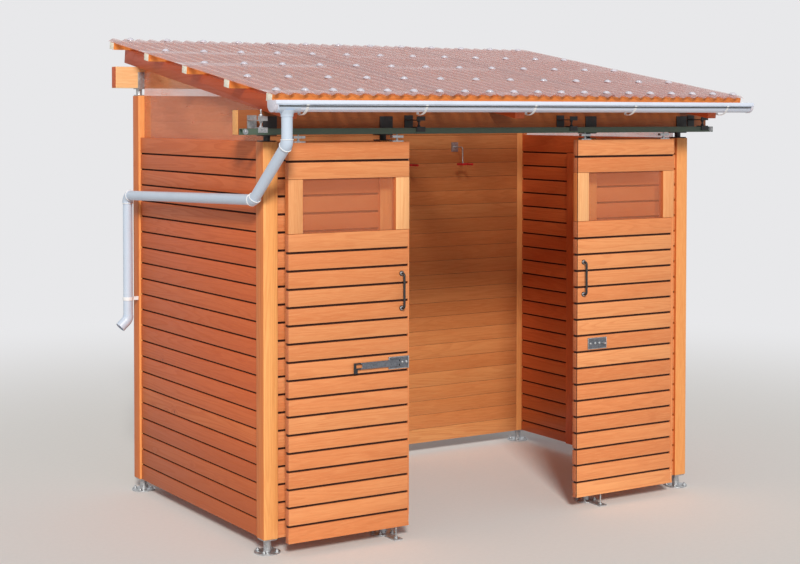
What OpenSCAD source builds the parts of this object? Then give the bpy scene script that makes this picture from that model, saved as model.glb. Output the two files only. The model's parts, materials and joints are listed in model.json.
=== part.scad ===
// Bike shelter: a lean-to timber frame on steel feet, with boarded walls, a clear
// corrugated roof, a gutter with its downpipe, and two doors that hang from a rail.
// Inside this file X runs along the front, Y goes back and Z goes up. Sizes are
// given from the outer front corner of the left post at ground level, and
// at_origin() moves every sub-part so that the origin is under the middle.

/* [Frame] */
// Width over the two front corner posts
span_w = 2720; // [2300:10:3400]
// Depth over the front and rear corner posts
span_d = 1610; // [1400:10:2000]
// Side of each square post
post_w = 80; // [70:1:100]
// Height of the posts' lower ends over the ground
foot_h = 70; // [60:1:120]
// Clear width between the two jamb posts
doorway_w = 1240; // [1100:10:1300]

/* [Boards] */
// Height that one board covers
board_pitch = 88; // [80:1:100]
// Boards in the height of a wall or a door
board_rows = 22; // [18:1:24]
// Shadow gap between two boards
board_gap = 7; // [4:0.5:12]
// Depth of the shadow gap
groove_d = 9; // [5:0.5:11]
// Thickness of the wall boards
board_t = 28; // [26:1:34]
// Distance of the boards behind the posts' outer faces
board_inset = 12; // [6:1:20]

/* [Beams and rafters] */
// Thickness of the two beams
beam_t = 60; // [50:1:80]
// Height of the two beams
beam_h = 120; // [100:1:140]
// Reach of the beams past the corner posts, on average
beam_reach = 140; // [90:1:300]
// Distance of the beams' middle to the right of the posts' middle
beam_shift = 10; // [0:1:40]
// Distance of the roof's middle to the right of the posts' middle
roof_shift = 25; // [0:1:40]
// Height of the front beam over the front posts
front_beam_gap = 33; // [30:1:60]
// Height of the rear beam over the rear posts
rear_beam_gap = 42; // [30:1:60]
// Slope of the roof in degrees
roof_slope = 9.1; // [6:0.1:12]
// Thickness of a rafter
rafter_w = 60; // [45:1:80]
// Height of a rafter
rafter_h = 80; // [60:1:110]
// Depth of the notch where a rafter sits on a beam
seat_cut = 3; // [1:0.5:12]

/* [Roof] */
// Depth of a purlin along the slope
purlin_w = 60; // [45:1:80]
// Height of a purlin
purlin_h = 40; // [30:1:60]
// Reach of the purlins past the corner posts, on average
verge_reach = 120; // [70:1:300]
// Overhang of the roof in front of the posts, along the slope
eave_reach = 262; // [220:1:320]
// Distance of the rafters' front ends behind the eave purlin's front face
rafter_back = 30; // [0:1:40]
// Step from the eave purlin to the next
eave_step = 456; // [400:1:520]
// Step between the other purlins
purlin_step = 500; // [400:1:560]
// Width of one corrugation
wave_w = 76; // [60:1:90]
// Height of the corrugations
wave_h = 16; // [12:1:24]
// Thickness of the roof sheet
sheet_t = 2; // [1.5:0.1:4]
// Reach of the sheet past the first and last purlins
sheet_reach = 25; // [20:1:45]
// Thickness of the clear gable panels
gable_t = 3; // [2:0.5:6]

/* [Gutter and downpipe] */
// Outer radius of the half-round gutter
gutter_r = 38; // [32:1:50]
// Wall of the gutter and the pipes
gutter_wall = 2; // [1.5:0.1:3]
// Height of the straight sides over the half round
gutter_side = 17; // [12:1:24]
// Gutter past the left end of the purlins
gutter_left = 23; // [10:1:60]
// Gutter past the right end of the purlins
gutter_right = 15; // [5:1:90]
// Outer diameter of the downpipe
pipe_d = 53; // [46:1:60]
// Wall of a pipe socket
socket_t = 3; // [2:0.5:5]
// Height of the downpipe's open end over the ground
pipe_end_z = 940; // [700:10:1200]

/* [Doors] */
// Width of one door
door_w = 687; // [660:1:720]
// Thickness of a door
door_t = 36; // [28:1:42]
// Distance of the doors' front faces before the posts
door_out = 107; // [95:1:130]
// Height of the doors' lower edges over the ground
door_lift = 66; // [50:1:100]
// Distance of the right door from its fully open place
right_ajar = 116; // [0:1:200]
// Gap between the closed doors
closed_gap = 6; // [6:1:14]
// Width of the frame board at each side of a window
stile_w = 80; // [60:1:110]
// Board rows over the window
rows_over = 2; // [1:1:4]
// Board rows that the window takes up
rows_window = 3; // [2:1:5]
// Thickness of a window's clear pane
pane_t = 3; // [2:0.5:6]

/* [Sliding gear] */
// Width of the C-shaped rail
rail_w = 34; // [30:1:40]
// Height of the rail
rail_h = 30; // [26:1:36]
// Wall of the rail
rail_wall = 2.5; // [2:0.5:3]
// Slot in the rail's underside
rail_slot = 14; // [12:1:16]
// Height of the rail's underside over the doors
rail_rise = 39; // [30:1:45]
// Diameter of the hanger bolts
hanger_bolt_d = 8; // [6:1:9]
// Distance of a hanger from the door's side edge
hanger_inset = 64; // [45:1:120]
// Diameter of the bottom guide rollers
guide_roller_d = 13; // [10:1:14]

/* [Handles and hasp] */
// Length of a bow handle
handle_l = 206; // [150:1:260]
// Reach of a bow handle out of the door
handle_out = 34; // [32:1:55]
// Height of the handles' middle over the ground
handle_z = 1256; // [1000:1:1400]
// Height of the hasp over the ground
hasp_z = 897; // [700:1:1000]
// Reach of the hasp's arm from its pin
hasp_arm_l = 272; // [250:1:290]
// Distance of the hasp's pin from the door's edge
hasp_pin_in = 57; // [50:1:80]

/* [Hidden] */
$fn = 40;

// Heights and the slope line, which runs along the rafters' undersides
wall_h = board_rows * board_pitch;
wall_top = foot_h + wall_h;
front_beam_z = wall_top + front_beam_gap;
beam_inset = (post_w - beam_t) / 2;
rear_beam_y = span_d - post_w + beam_inset;
slope_z0 = front_beam_z + beam_h - seat_cut - beam_inset * tan(roof_slope);
rear_beam_z = slope_z0 + rear_beam_y * tan(roof_slope) + seat_cut - beam_h;
rear_post_top = rear_beam_z - rear_beam_gap;
roof_mid_x = span_w / 2 + roof_shift;
purlin_l = span_w + 2 * verge_reach;
purlin_x0 = roof_mid_x - purlin_l / 2;
beam_l = span_w + 2 * beam_reach;
beam_x0 = span_w / 2 + beam_shift - beam_l / 2;

// Places along the slope, with the slope line's own zero over the posts' front faces
purlin_n0 = rafter_h;
sheet_n0 = rafter_h + purlin_h;
eave_s = -eave_reach;
rows_s = [for (i = [0:3]) eave_s + eave_step + i * purlin_step];
rafter_end_s = rows_s[3] + purlin_w;
sheet_s0 = eave_s - sheet_reach;
sheet_s1 = rafter_end_s + sheet_reach;
wave_count = round(purlin_l / wave_w);
roof_x0 = roof_mid_x - wave_count * wave_w / 2;
wave_steps = 12;
lap_waves = 1;
lap_lift = sheet_t + 0.3;
birdsmouth_play = 0.2;

// Door places
door_h = wall_h;
door_back_y = door_t - door_out;
door_mid_y = door_t / 2 - door_out;
door_top = door_lift + door_h;
left_door_x = post_w;
right_open_x = span_w - post_w - door_w;
right_door_x = right_open_x - right_ajar;
window_w = door_w - 2 * stile_w;
window_h = rows_window * board_pitch;
window_z = door_h - (rows_over + rows_window) * board_pitch;
pane_recess = 12;
pane_play = 0.2;
pane_lip = 8;

// Rail, its brackets and the hangers in it
rail_z = door_top + rail_rise;
rail_left_x = -165;
rail_joint_in = 65;
rail_joint_x = (span_w - doorway_w) / 2 + rail_joint_in;
rail_right_x = span_w + 95;
rail_joint_gap = 1;
bracket_t = 5;
bracket_w = 50;
bracket_arm_z = 36;
bracket_lip = 22;
bracket_bolt_d = 10;
bracket_nut_d = 19;
bracket_nut_h = 8;
bracket_end = 57;
bracket_mid = 448;
bracket_past = 30;
bracket_places = [-bracket_end, rail_joint_x + rail_joint_gap + bracket_w / 2 + 3,
    span_w / 2 + bracket_mid, span_w + bracket_past];
roller_d = 18;
roller_t = 6;
roller_play = 0.4;
hanger_plate_l = 64;
hanger_plate_t = 6;
hanger_plate_w = 28;
hanger_block_h = 12;
hanger_block_w = 24;
hanger_rail_gap = 7;

// Guide channel in the doors' lower edges, and the rollers that run in it
channel_w = 26;
channel_h = 26;
channel_t = 2;
channel_play = 0.2;
guide_clear = 5;
guide_t = 6;
guide_w = 50;

// Feet, shoes and hooks
foot_plate_d = 130;
foot_plate_t = 6;
foot_tube_d = 38;
foot_tube_wall = 3;
foot_hole_pcd = 100;
foot_hole_d = 11;
foot_top_w = 70;
shoe_w = 40;
shoe_t = 5;
shoe_cheek = 90;
shoe_x = 22;
shoe_tube_d = 34;
front_shoe_w = 76;
hook_a_x = 379;
hook_b_x = 573;
hook_rise = 1862;
hook_places = [span_w / 2 + hook_a_x, span_w - hook_b_x];
hook_z = foot_h + hook_rise;
hook_out = 92;
hook_drop = 107;
hook_rod_d = 8;
hook_fork_w = 80;
hook_prong_l = 60;
hook_sleeve_d = 14;
hook_plate_w = 50;
hook_plate_h = 60;
hook_plate_t = 4;
hook_bend = 16;

// Gutter place: its back is against the front edge of the eave purlin
cap_t = 4;
rim_out = 5;
rim_h = 18;
rim_clear = 1;
strap_t = 3;
strap_w = 14;
strap_play = 0.2;
strap_bow = 30;
strap_turn = 37;
strap_foot = 24;
strap_left = 34;
strap_right = 193;
strap_count = 5;
cap_lip = 2;
cap_l = 12;
eave_top_y = eave_s * cos(roof_slope) - sheet_n0 * sin(roof_slope);
eave_top_z = slope_z0 + eave_s * sin(roof_slope) + sheet_n0 * cos(roof_slope);
gutter_y = eave_top_y - strap_t - strap_play - gutter_r;
gutter_z = eave_top_z - purlin_h - 4;
gutter_x0 = purlin_x0 - gutter_left;
gutter_x1 = purlin_x0 + purlin_l + gutter_right;
outlet_x = -40;
outlet_sleeve_l = 110;

// Downpipe corners, from the gutter outlet to the open end beside the rear post
elbow_r = 45;
pipe_off = -60;
run_y0 = -17;
run_drop = 277;
run_fall = 47;
clip_rise = 150;
run_y1 = span_d - 65;
pipe_top_z = gutter_z - gutter_r - 22;
pipe_p0 = [outlet_x, gutter_y, pipe_top_z];
pipe_p1 = [outlet_x, gutter_y, wall_top - 5];
pipe_p2 = [pipe_off, run_y0, wall_top - run_drop];
pipe_p3 = [pipe_off, run_y1, wall_top - run_drop - run_fall];
pipe_p4 = [pipe_off, run_y1, pipe_end_z + 45];
pipe_p5 = [pipe_off - 48, run_y1, pipe_end_z];
clip_w = 20;
clip_t = 3;
clip_play = 0.2;

// The box round everything, whose middle is the origin
box_x0 = min(gutter_x0 - cap_t, beam_x0, rail_left_x, roof_x0);
box_x1 = max(gutter_x1 + cap_t, beam_x0 + beam_l, rail_right_x, roof_x0 + wave_count * wave_w);
box_y0 = gutter_y - gutter_r - max(rim_out, strap_play + strap_t);
box_y1 = max(sheet_s1 * cos(roof_slope) - sheet_n0 * sin(roof_slope),
    rafter_end_s * cos(roof_slope));
mid = [(box_x0 + box_x1) / 2, (box_y0 + box_y1) / 2, 0];

module at_origin() {
    translate(-mid) children();
}

module on_slope() {
    translate([0, 0, slope_z0]) rotate([roof_slope, 0, 0]) children();
}

// Extrudes a side-view outline, whose axes are Y and Z, along X
module along_x(x0, length) {
    translate([x0, 0, 0]) rotate([90, 0, 90]) linear_extrude(length) children();
}

// Mirrors what is drawn for the left side onto the right
module on_right_side() {
    translate([span_w, 0, 0]) mirror([1, 0, 0]) children();
}

function unit(v) = v / norm(v);

// Rows of notches up one face of a boarded wall, at depth d from the face at x
function notches(x, d, rows) = concat([[x, 0]],
    [for (i = [1:rows - 1]) each [[x, i * board_pitch - board_gap],
        [x + d, i * board_pitch - board_gap], [x + d, i * board_pitch], [x, i * board_pitch]]]);

function upside_down(points) = [for (i = [len(points) - 1:-1:0]) points[i]];

// Section of boards laid edge to edge; inner faces have notches only where asked
module board_section(t, rows, top, both_faces) {
    outer = concat(notches(0, groove_d, rows), [[0, top]]);
    inner = both_faces ? concat(notches(t, -groove_d, rows), [[t, top]]) : [[t, 0], [t, top]];
    polygon(concat(outer, upside_down(inner)));
}

// Boards along X, with their outer faces at y and their lower edge at z
module boards_x(x0, length, y, z, t, rows, top, both_faces) {
    translate([0, y, z]) along_x(x0, length) board_section(t, rows, top, both_faces);
}

// Boards along Y, with their outer faces at x looking to -X
module boards_y(x, y0, length, z) {
    translate([x, y0 + length, z]) rotate([90, 0, 0])
        linear_extrude(length) board_section(board_t, board_rows, wall_h, true);
}

module post(x, y, z0, z1) {
    translate([x, y, z0]) cube([post_w, post_w, z1 - z0]);
}

module front_left_post() {
    color("sandybrown") at_origin() post(0, 0, foot_h, wall_top);
}

module front_right_post() {
    color("sandybrown") at_origin() post(span_w - post_w, 0, foot_h, wall_top);
}

module rear_left_post() {
    color("sandybrown") at_origin() post(0, span_d - post_w, foot_h, rear_post_top);
}

module rear_right_post() {
    color("sandybrown") at_origin() on_right_side()
        post(0, span_d - post_w, foot_h, rear_post_top);
}

// Post beside the doorway, which the beam rests on through a front shoe
module jamb_post() {
    post((span_w - doorway_w) / 2 - post_w, 0, foot_h, wall_top);
}

module left_jamb_post() {
    color("sandybrown") at_origin() jamb_post();
}

module right_jamb_post() {
    color("sandybrown") at_origin() on_right_side() jamb_post();
}

// Foot: round base plate with bolt holes, tube and top plate
module foot(x, y) {
    translate([x, y, 0]) difference() {
        union() {
            cylinder(d = foot_plate_d, h = foot_plate_t);
            cylinder(d = foot_tube_d, h = foot_h);
            translate([-foot_top_w / 2, -foot_top_w / 2, foot_h - foot_plate_t])
                cube([foot_top_w, foot_top_w, foot_plate_t]);
        }
        translate([0, 0, -1])
            cylinder(d = foot_tube_d - 2 * foot_tube_wall, h = foot_h - foot_plate_t + 1);
        for (a = [45:90:315]) rotate([0, 0, a]) translate([foot_hole_pcd / 2, 0, -1])
            cylinder(d = foot_hole_d, h = foot_plate_t + 2);
    }
}

module corner_feet() {
    color("gainsboro") at_origin() for (x = [post_w / 2, span_w - post_w / 2],
        y = [post_w / 2, span_d - post_w / 2]) foot(x, y);
}

module jamb_feet() {
    color("gainsboro") at_origin() for (side = [-1, 1])
        foot(span_w / 2 + side * (doorway_w + post_w) / 2, post_w / 2);
}

// Steel cradle that holds a beam over a post on an upright tube
module beam_shoe(x, w, post_y, top, gap) {
    y0 = post_y + beam_inset;
    translate([x - w / 2, 0, 0]) {
        translate([0, y0, top]) cube([w, beam_t, shoe_t]);
        translate([w / 2, post_y + post_w / 2, top]) cylinder(d = shoe_tube_d, h = gap);
        translate([0, y0 - shoe_t, top + gap - shoe_t]) cube([w, beam_t + 2 * shoe_t, shoe_t]);
        for (y = [y0 - shoe_t, y0 + beam_t]) translate([0, y, top + gap - shoe_t])
            cube([w, shoe_t, shoe_cheek + shoe_t]);
    }
}

// Narrow cradles under the rear beam
module beam_shoes() {
    color("silver") at_origin() for (x = [shoe_x, span_w - shoe_x])
        beam_shoe(x, shoe_w, span_d - post_w, rear_post_top, rear_beam_gap);
}

// Wide cradles under the front beam, over the corner posts and the jamb posts
module front_shoes() {
    color("dimgray") at_origin() for (side = [-1, 1], out = [span_w - post_w, doorway_w + post_w])
        beam_shoe(span_w / 2 + side * out / 2, front_shoe_w, 0, wall_top, front_beam_gap);
}

module side_wall() {
    boards_y(board_inset, post_w, span_d - 2 * post_w, foot_h);
}

module left_wall() {
    color("sienna") at_origin() side_wall();
}

module right_wall() {
    color("sienna") at_origin() on_right_side() side_wall();
}

// The back wall is smooth inside, has its notches outside and fills up to the rear posts' tops
module back_wall() {
    rows = floor((rear_post_top - foot_h) / board_pitch);
    color("peru") at_origin() translate([0, span_d - post_w + board_t, 0]) mirror([0, 1, 0])
        boards_x(post_w, span_w - 2 * post_w, 0, foot_h, board_t, rows,
            rear_post_top - foot_h, false);
}

module front_panel() {
    boards_x(post_w, (span_w - doorway_w) / 2 - 2 * post_w, board_inset, foot_h,
        board_t, board_rows, wall_h, true);
}

module left_front_panel() {
    color("chocolate") at_origin() front_panel();
}

module right_front_panel() {
    color("chocolate") at_origin() on_right_side() front_panel();
}

module beam(y, z) {
    translate([beam_x0, y, z]) cube([beam_l, beam_t, beam_h]);
}

module front_beam() {
    color("saddlebrown") at_origin() beam(beam_inset, front_beam_z);
}

module rear_beam() {
    color("sandybrown") at_origin() beam(rear_beam_y, rear_beam_z);
}

// Rafter with a level seat cut over each beam
module rafter(x) {
    difference() {
        on_slope() translate([x, eave_s + rafter_back, 0])
            cube([rafter_w, rafter_end_s - eave_s - rafter_back, rafter_h]);
        for (seat = [[beam_inset, front_beam_z], [rear_beam_y, rear_beam_z]])
            translate([x - 1, seat[0] - birdsmouth_play, seat[1]])
                cube([rafter_w + 2, beam_t + 2 * birdsmouth_play, beam_h]);
    }
}

module rafters() {
    color("chocolate") at_origin()
        for (x = [0, (span_w - rafter_w) / 2, span_w - rafter_w]) rafter(x);
}

module purlin(s) {
    on_slope() translate([purlin_x0, s, purlin_n0]) cube([purlin_l, purlin_w, purlin_h]);
}

module eave_purlin() {
    color("darkorange") at_origin() purlin(eave_s);
}

module purlins() {
    color("darkorange") at_origin() for (s = rows_s) purlin(s);
}

// Height of the corrugated sheet's underside at a share of one wave
function wave_at(i) = wave_h / 2 * (1 - cos(360 * i / wave_steps));

// One sheet of the roof, from wave a to wave b; its neighbours lap over or under it
module roof_sheet(a, b, lift) {
    under = [for (i = [a * wave_steps:b * wave_steps]) [i * wave_w / wave_steps, wave_at(i)]];
    over = [for (p = upside_down(under)) [p[0], p[1] + sheet_t]];
    on_slope() translate([roof_x0, sheet_s1, sheet_n0 + lift]) rotate([90, 0, 0])
        linear_extrude(sheet_s1 - sheet_s0) polygon(concat(under, over));
}

module roof_sheets() {
    third = round(wave_count / 3);
    color("lightblue", 0.5) at_origin() {
        roof_sheet(0, third + lap_waves, 0);
        roof_sheet(third, 2 * third + lap_waves, lap_lift);
        roof_sheet(2 * third, wave_count, 0);
    }
}

// Clear panel between the side wall, the rafter and the rear post
module gable_pane() {
    y0 = post_w;
    y1 = span_d - post_w;
    top = slope_z0;
    along_x(board_inset + board_t - gable_t, gable_t)
        polygon([[y0, wall_top], [y1, wall_top], [y1, top + y1 * tan(roof_slope)],
            [y0, top + y0 * tan(roof_slope)]]);
}

module left_gable_pane() {
    color("lightblue", 0.5) at_origin() gable_pane();
}

module right_gable_pane() {
    color("lightblue", 0.5) at_origin() on_right_side() gable_pane();
}

// Solid outline of a half round with straight sides, at radius r
module gutter_outline(r, side) {
    intersection() {
        union() {
            circle(r, $fn = 64);
            translate([-r, 0]) square([2 * r, side]);
        }
        translate([-r, -r]) square([2 * r, r + side]);
    }
}

module gutter_place() {
    translate([0, gutter_y, gutter_z]) children();
}

// Outline of a shell round the gutter, which stops below the rim in front
module gutter_shell(t) {
    inner = gutter_r + strap_play;
    difference() {
        gutter_outline(inner + t, gutter_side);
        gutter_outline(inner, gutter_side + 1);
        translate([-inner - t - 1, gutter_side - rim_h - rim_clear])
            square([inner, rim_h + rim_clear + 1]);
    }
}

// Gutter with a deep rim that stands out along its front and a hole over the outlet
module gutter() {
    color("lightsteelblue") at_origin() gutter_place() difference() {
        along_x(gutter_x0, gutter_x1 - gutter_x0) {
            difference() {
                gutter_outline(gutter_r, gutter_side);
                gutter_outline(gutter_r - gutter_wall, gutter_side + 1);
            }
            translate([-gutter_r - rim_out, gutter_side - rim_h])
                square([rim_out + gutter_wall, rim_h]);
        }
        translate([outlet_x, 0, -gutter_r - 1]) cylinder(d = pipe_d - 2 * gutter_wall, h = 20);
    }
}

// End caps, each with a lip that grips round the gutter's end
module gutter_end_caps() {
    color("lightsteelblue") at_origin() gutter_place() {
        for (x = [gutter_x0 - cap_t, gutter_x1]) along_x(x, cap_t) {
            gutter_outline(gutter_r + strap_play + cap_lip, gutter_side);
            translate([-gutter_r - rim_out, gutter_side - rim_h]) square([gutter_r, rim_h]);
        }
        for (x = [gutter_x0, gutter_x1 - cap_l]) along_x(x, cap_l) gutter_shell(cap_lip);
    }
}

// Strap that carries the gutter: an arc from below the rim to behind the gutter, a leg
// up to the eave purlin and a foot that is screwed up under it
module strap(x, w) {
    arc_r = gutter_r + strap_play + strap_bow;
    mid_y = strap_bow * cos(strap_turn);
    mid_z = strap_bow * sin(strap_turn);
    under_y = gutter_r + strap_play + strap_t + purlin_h * sin(roof_slope);
    under_z = eave_top_z - gutter_z - purlin_h * cos(roof_slope);
    leg_y = under_y - strap_t;
    leg_z = mid_z - sqrt(pow(arc_r, 2) - pow(leg_y - mid_y, 2)) - strap_t / 2;
    foot_y = under_y + strap_foot;
    foot_z = under_z + strap_foot * tan(roof_slope);
    along_x(x - w / 2, w) {
        intersection() {
            translate([mid_y, mid_z]) difference() {
                circle(arc_r + strap_t, $fn = 96);
                circle(arc_r, $fn = 96);
            }
            translate([-gutter_r - rim_out, -2 * arc_r])
                square([gutter_r + rim_out + under_y, 2 * arc_r + gutter_side - rim_h - rim_clear]);
        }
        polygon([[leg_y, leg_z], [under_y, leg_z], [under_y, under_z - strap_t],
            [foot_y, foot_z - strap_t], [foot_y, foot_z], [under_y, under_z], [leg_y, under_z]]);
    }
}

module gutter_brackets() {
    first = outlet_x + outlet_sleeve_l / 2 + strap_left;
    step = (gutter_x1 - strap_right - first) / (strap_count - 1);
    color("white") at_origin() gutter_place()
        for (i = [0:strap_count - 1]) strap(first + i * step, strap_w);
}

// Sleeve round the gutter with the funnel and the spigot for the downpipe
module gutter_outlet() {
    funnel_d = pipe_d + 30;
    color("lightsteelblue") at_origin() gutter_place() difference() {
        union() {
            along_x(outlet_x - outlet_sleeve_l / 2, outlet_sleeve_l) gutter_shell(socket_t);
            translate([outlet_x, 0, pipe_top_z - gutter_z])
                cylinder(d = pipe_d + 2 * socket_t, h = gutter_r);
            translate([outlet_x, 0, -gutter_r - 12])
                cylinder(d1 = pipe_d + 2 * socket_t, d2 = funnel_d, h = 22, $fn = 48);
        }
        translate([outlet_x, 0, pipe_top_z - gutter_z - 1])
            cylinder(d = pipe_d - 2 * gutter_wall, h = 3 * gutter_r);
        along_x(outlet_x - funnel_d, 2 * funnel_d) gutter_outline(gutter_r + strap_play, 3 * gutter_r);
    }
}

// Frame with its Z axis along v, placed at p
module facing(p, v) {
    z = unit(v);
    side = abs(z[0]) < 0.9 ? [1, 0, 0] : [0, 1, 0];
    x = unit(cross(side, z));
    y = cross(z, x);
    multmatrix([[x[0], y[0], z[0], p[0]], [x[1], y[1], z[1], p[1]], [x[2], y[2], z[2], p[2]],
        [0, 0, 0, 1]]) children();
}

function bend_angle(a, p, b) = acos(unit(p - a) * unit(b - p));
function bend_cut(a, p, b) = elbow_r * tan(bend_angle(a, p, b) / 2);

// Straight tube from a to b, less the elbow at each end
module tube(a, b, cut_a, cut_b, d) {
    v = unit(b - a);
    h = norm(b - a) - cut_a - cut_b;
    facing(a + v * cut_a, v) difference() {
        cylinder(d = d, h = h);
        translate([0, 0, -1]) cylinder(d = pipe_d - 2 * gutter_wall, h = h + 2);
    }
}

// Elbow at corner p between the straight stretches from a and to b, with sockets
module elbow(a, p, b) {
    u = unit(p - a);
    v = unit(b - p);
    n = unit(v - u * (u * v));
    start = p - u * bend_cut(a, p, b);
    c = start + n * elbow_r;
    z = cross(-n, u);
    multmatrix([[-n[0], u[0], z[0], c[0]], [-n[1], u[1], z[1], c[1]], [-n[2], u[2], z[2], c[2]],
        [0, 0, 0, 1]])
        rotate_extrude(angle = bend_angle(a, p, b), $fn = 72) translate([elbow_r, 0]) difference() {
            circle(d = pipe_d + 2 * socket_t, $fn = 40);
            circle(d = pipe_d - 2 * gutter_wall, $fn = 40);
        }
}

module downpipe() {
    color("lightsteelblue") at_origin() {
        tube(pipe_p0, pipe_p1, 0, bend_cut(pipe_p0, pipe_p1, pipe_p2), pipe_d);
        tube(pipe_p1, pipe_p2, bend_cut(pipe_p0, pipe_p1, pipe_p2),
            bend_cut(pipe_p1, pipe_p2, pipe_p3), pipe_d);
        tube(pipe_p2, pipe_p3, bend_cut(pipe_p1, pipe_p2, pipe_p3),
            bend_cut(pipe_p2, pipe_p3, pipe_p4), pipe_d);
        tube(pipe_p3, pipe_p4, bend_cut(pipe_p2, pipe_p3, pipe_p4),
            bend_cut(pipe_p3, pipe_p4, pipe_p5), pipe_d);
    }
}

module pipe_elbows() {
    color("lightsteelblue") at_origin() {
        elbow(pipe_p0, pipe_p1, pipe_p2);
        elbow(pipe_p1, pipe_p2, pipe_p3);
        elbow(pipe_p2, pipe_p3, pipe_p4);
        elbow(pipe_p3, pipe_p4, pipe_p5);
    }
}

// The open end, past the last elbow
module pipe_tail() {
    color("lightsteelblue") at_origin()
        tube(pipe_p4, pipe_p5, bend_cut(pipe_p3, pipe_p4, pipe_p5), 0, pipe_d + 2 * socket_t);
}

// Clip round the upright pipe, with a stub that reaches the rear post
module pipe_clip(z) {
    r = pipe_d / 2 + clip_play;
    translate([pipe_off, run_y1, z]) difference() {
        union() {
            cylinder(r = r + clip_t, h = clip_w);
            translate([0, -8, 0]) cube([-pipe_off, 16, clip_w]);
        }
        translate([0, 0, -1]) cylinder(r = r, h = clip_w + 2);
    }
}

module pipe_clips() {
    color("white") at_origin() pipe_clip(pipe_end_z + clip_rise);
}

// C-shaped rail section: the hangers' rollers run on its two lower lips
module rail_section() {
    difference() {
        translate([-rail_w / 2, 0]) square([rail_w, rail_h]);
        translate([rail_wall - rail_w / 2, rail_wall])
            square([rail_w - 2 * rail_wall, rail_h - 2 * rail_wall]);
        translate([-rail_slot / 2, -1]) square([rail_slot, rail_wall + 2]);
    }
}

module door_rail() {
    color("darkslategray") at_origin() translate([0, door_mid_y, rail_z]) {
        along_x(rail_left_x, rail_joint_x - rail_left_x) rail_section();
        along_x(rail_joint_x + rail_joint_gap, rail_right_x - rail_joint_x - rail_joint_gap)
            rail_section();
    }
}

// Bracket for the rail: a plate on the beam's front face, an arm with a raised lip, and
// a bolt that hangs from the arm and carries a saddle round the rail
module rail_bracket(x) {
    top = rail_z + rail_h;
    arm_z = top + bracket_arm_z;
    arm_y0 = door_mid_y - rail_w / 2 - bracket_t;
    saddle_w = rail_w + 2 * bracket_t;
    translate([x - bracket_w / 2, 0, 0]) {
        translate([0, arm_y0, arm_z]) cube([bracket_w, beam_inset - arm_y0, bracket_t]);
        translate([0, arm_y0, arm_z]) cube([bracket_w, bracket_t, bracket_lip]);
        translate([0, beam_inset - bracket_t, top]) cube([bracket_w, bracket_t,
            bracket_arm_z + bracket_t + bracket_lip]);
        translate([0, arm_y0, top]) cube([bracket_w, saddle_w, bracket_t]);
        for (y = [arm_y0, door_mid_y + rail_w / 2]) translate([0, y, rail_z + rail_h / 3])
            cube([bracket_w, bracket_t, rail_h * 2 / 3]);
        translate([bracket_w / 2, door_mid_y, top]) {
            cylinder(d = bracket_bolt_d, h = bracket_arm_z + bracket_lip);
            for (z = [bracket_t, bracket_arm_z - bracket_nut_h, bracket_arm_z + bracket_t])
                translate([0, 0, z]) cylinder(d = bracket_nut_d, h = bracket_nut_h, $fn = 6);
        }
    }
}

module rail_brackets() {
    color("dimgray") at_origin() for (x = bracket_places) rail_bracket(x);
}

// Door leaf with a window opening and a groove for the channel in its lower edge
module door_leaf(x) {
    groove_w = channel_w + 2 * channel_play;
    groove_h = channel_h + channel_play;
    translate([x, 0, door_lift]) difference() {
        union() {
            boards_x(0, door_w, -door_out, 0, door_t, board_rows, door_h, true);
            for (side = [0, door_w - stile_w])
                translate([side, -door_out, window_z]) cube([stile_w, door_t, window_h - board_gap]);
        }
        translate([stile_w, -door_out - 1, window_z]) cube([window_w, door_t + 2, window_h]);
        translate([stile_w - pane_lip, pane_recess - door_out, window_z - pane_lip])
            cube([window_w + 2 * pane_lip, pane_t + 2 * pane_play, window_h + 2 * pane_lip]);
        translate([-1, door_mid_y - groove_w / 2, -1]) cube([door_w + 2, groove_w, groove_h + 1]);
    }
}

module left_door_leaf() {
    color("coral") at_origin() door_leaf(left_door_x);
}

module right_door_leaf() {
    color("coral") at_origin() door_leaf(right_door_x);
}

module door_pane(x) {
    edge = pane_lip - pane_play;
    translate([x + stile_w - edge, pane_recess + pane_play - door_out, door_lift + window_z - edge])
        cube([window_w + 2 * edge, pane_t, window_h + 2 * edge]);
}

module left_door_pane() {
    color("lightblue", 0.5) at_origin() door_pane(left_door_x);
}

module right_door_pane() {
    color("lightblue", 0.5) at_origin() door_pane(right_door_x);
}

// Hanger: plate on the door, block under the rail, bolt through the rail's slot and two
// pairs of rollers
module hanger(x) {
    axle_z = rail_z + rail_wall + roller_play + roller_d / 2;
    body_h = 12;
    body_l = 44;
    translate([x, door_mid_y, 0]) {
        translate([-hanger_plate_l / 2, -hanger_plate_w / 2, door_top])
            cube([hanger_plate_l, hanger_plate_w, hanger_plate_t]);
        translate([-hanger_plate_l / 2, -hanger_block_w / 2, rail_z - hanger_rail_gap - hanger_block_h])
            cube([hanger_plate_l, hanger_block_w, hanger_block_h]);
        translate([0, 0, door_top]) cylinder(d = hanger_bolt_d, h = axle_z - door_top);
        translate([0, 0, door_top + hanger_plate_t]) cylinder(d = 15, h = 9, $fn = 6);
        translate([-body_l / 2, -3, axle_z - body_h / 2]) cube([body_l, 6, body_h]);
        for (side = [-1, 1]) translate([side * (body_l / 2 - 10), 0, axle_z]) rotate([90, 0, 0])
            cylinder(d = roller_d, h = 2 * roller_t + 8, center = true);
    }
}

module hangers(x) {
    for (dx = [hanger_inset, door_w - hanger_inset]) hanger(x + dx);
}

module left_door_hangers() {
    color("silver") at_origin() hangers(left_door_x);
}

module right_door_hangers() {
    color("silver") at_origin() hangers(right_door_x);
}

// U-shaped channel, open downwards, set in the door's lower edge
module door_channel(x) {
    translate([0, door_mid_y, door_lift]) along_x(x, door_w) difference() {
        translate([-channel_w / 2, 0]) square([channel_w, channel_h]);
        translate([channel_t - channel_w / 2, -1])
            square([channel_w - 2 * channel_t, channel_h - channel_t + 1]);
    }
}

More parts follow.
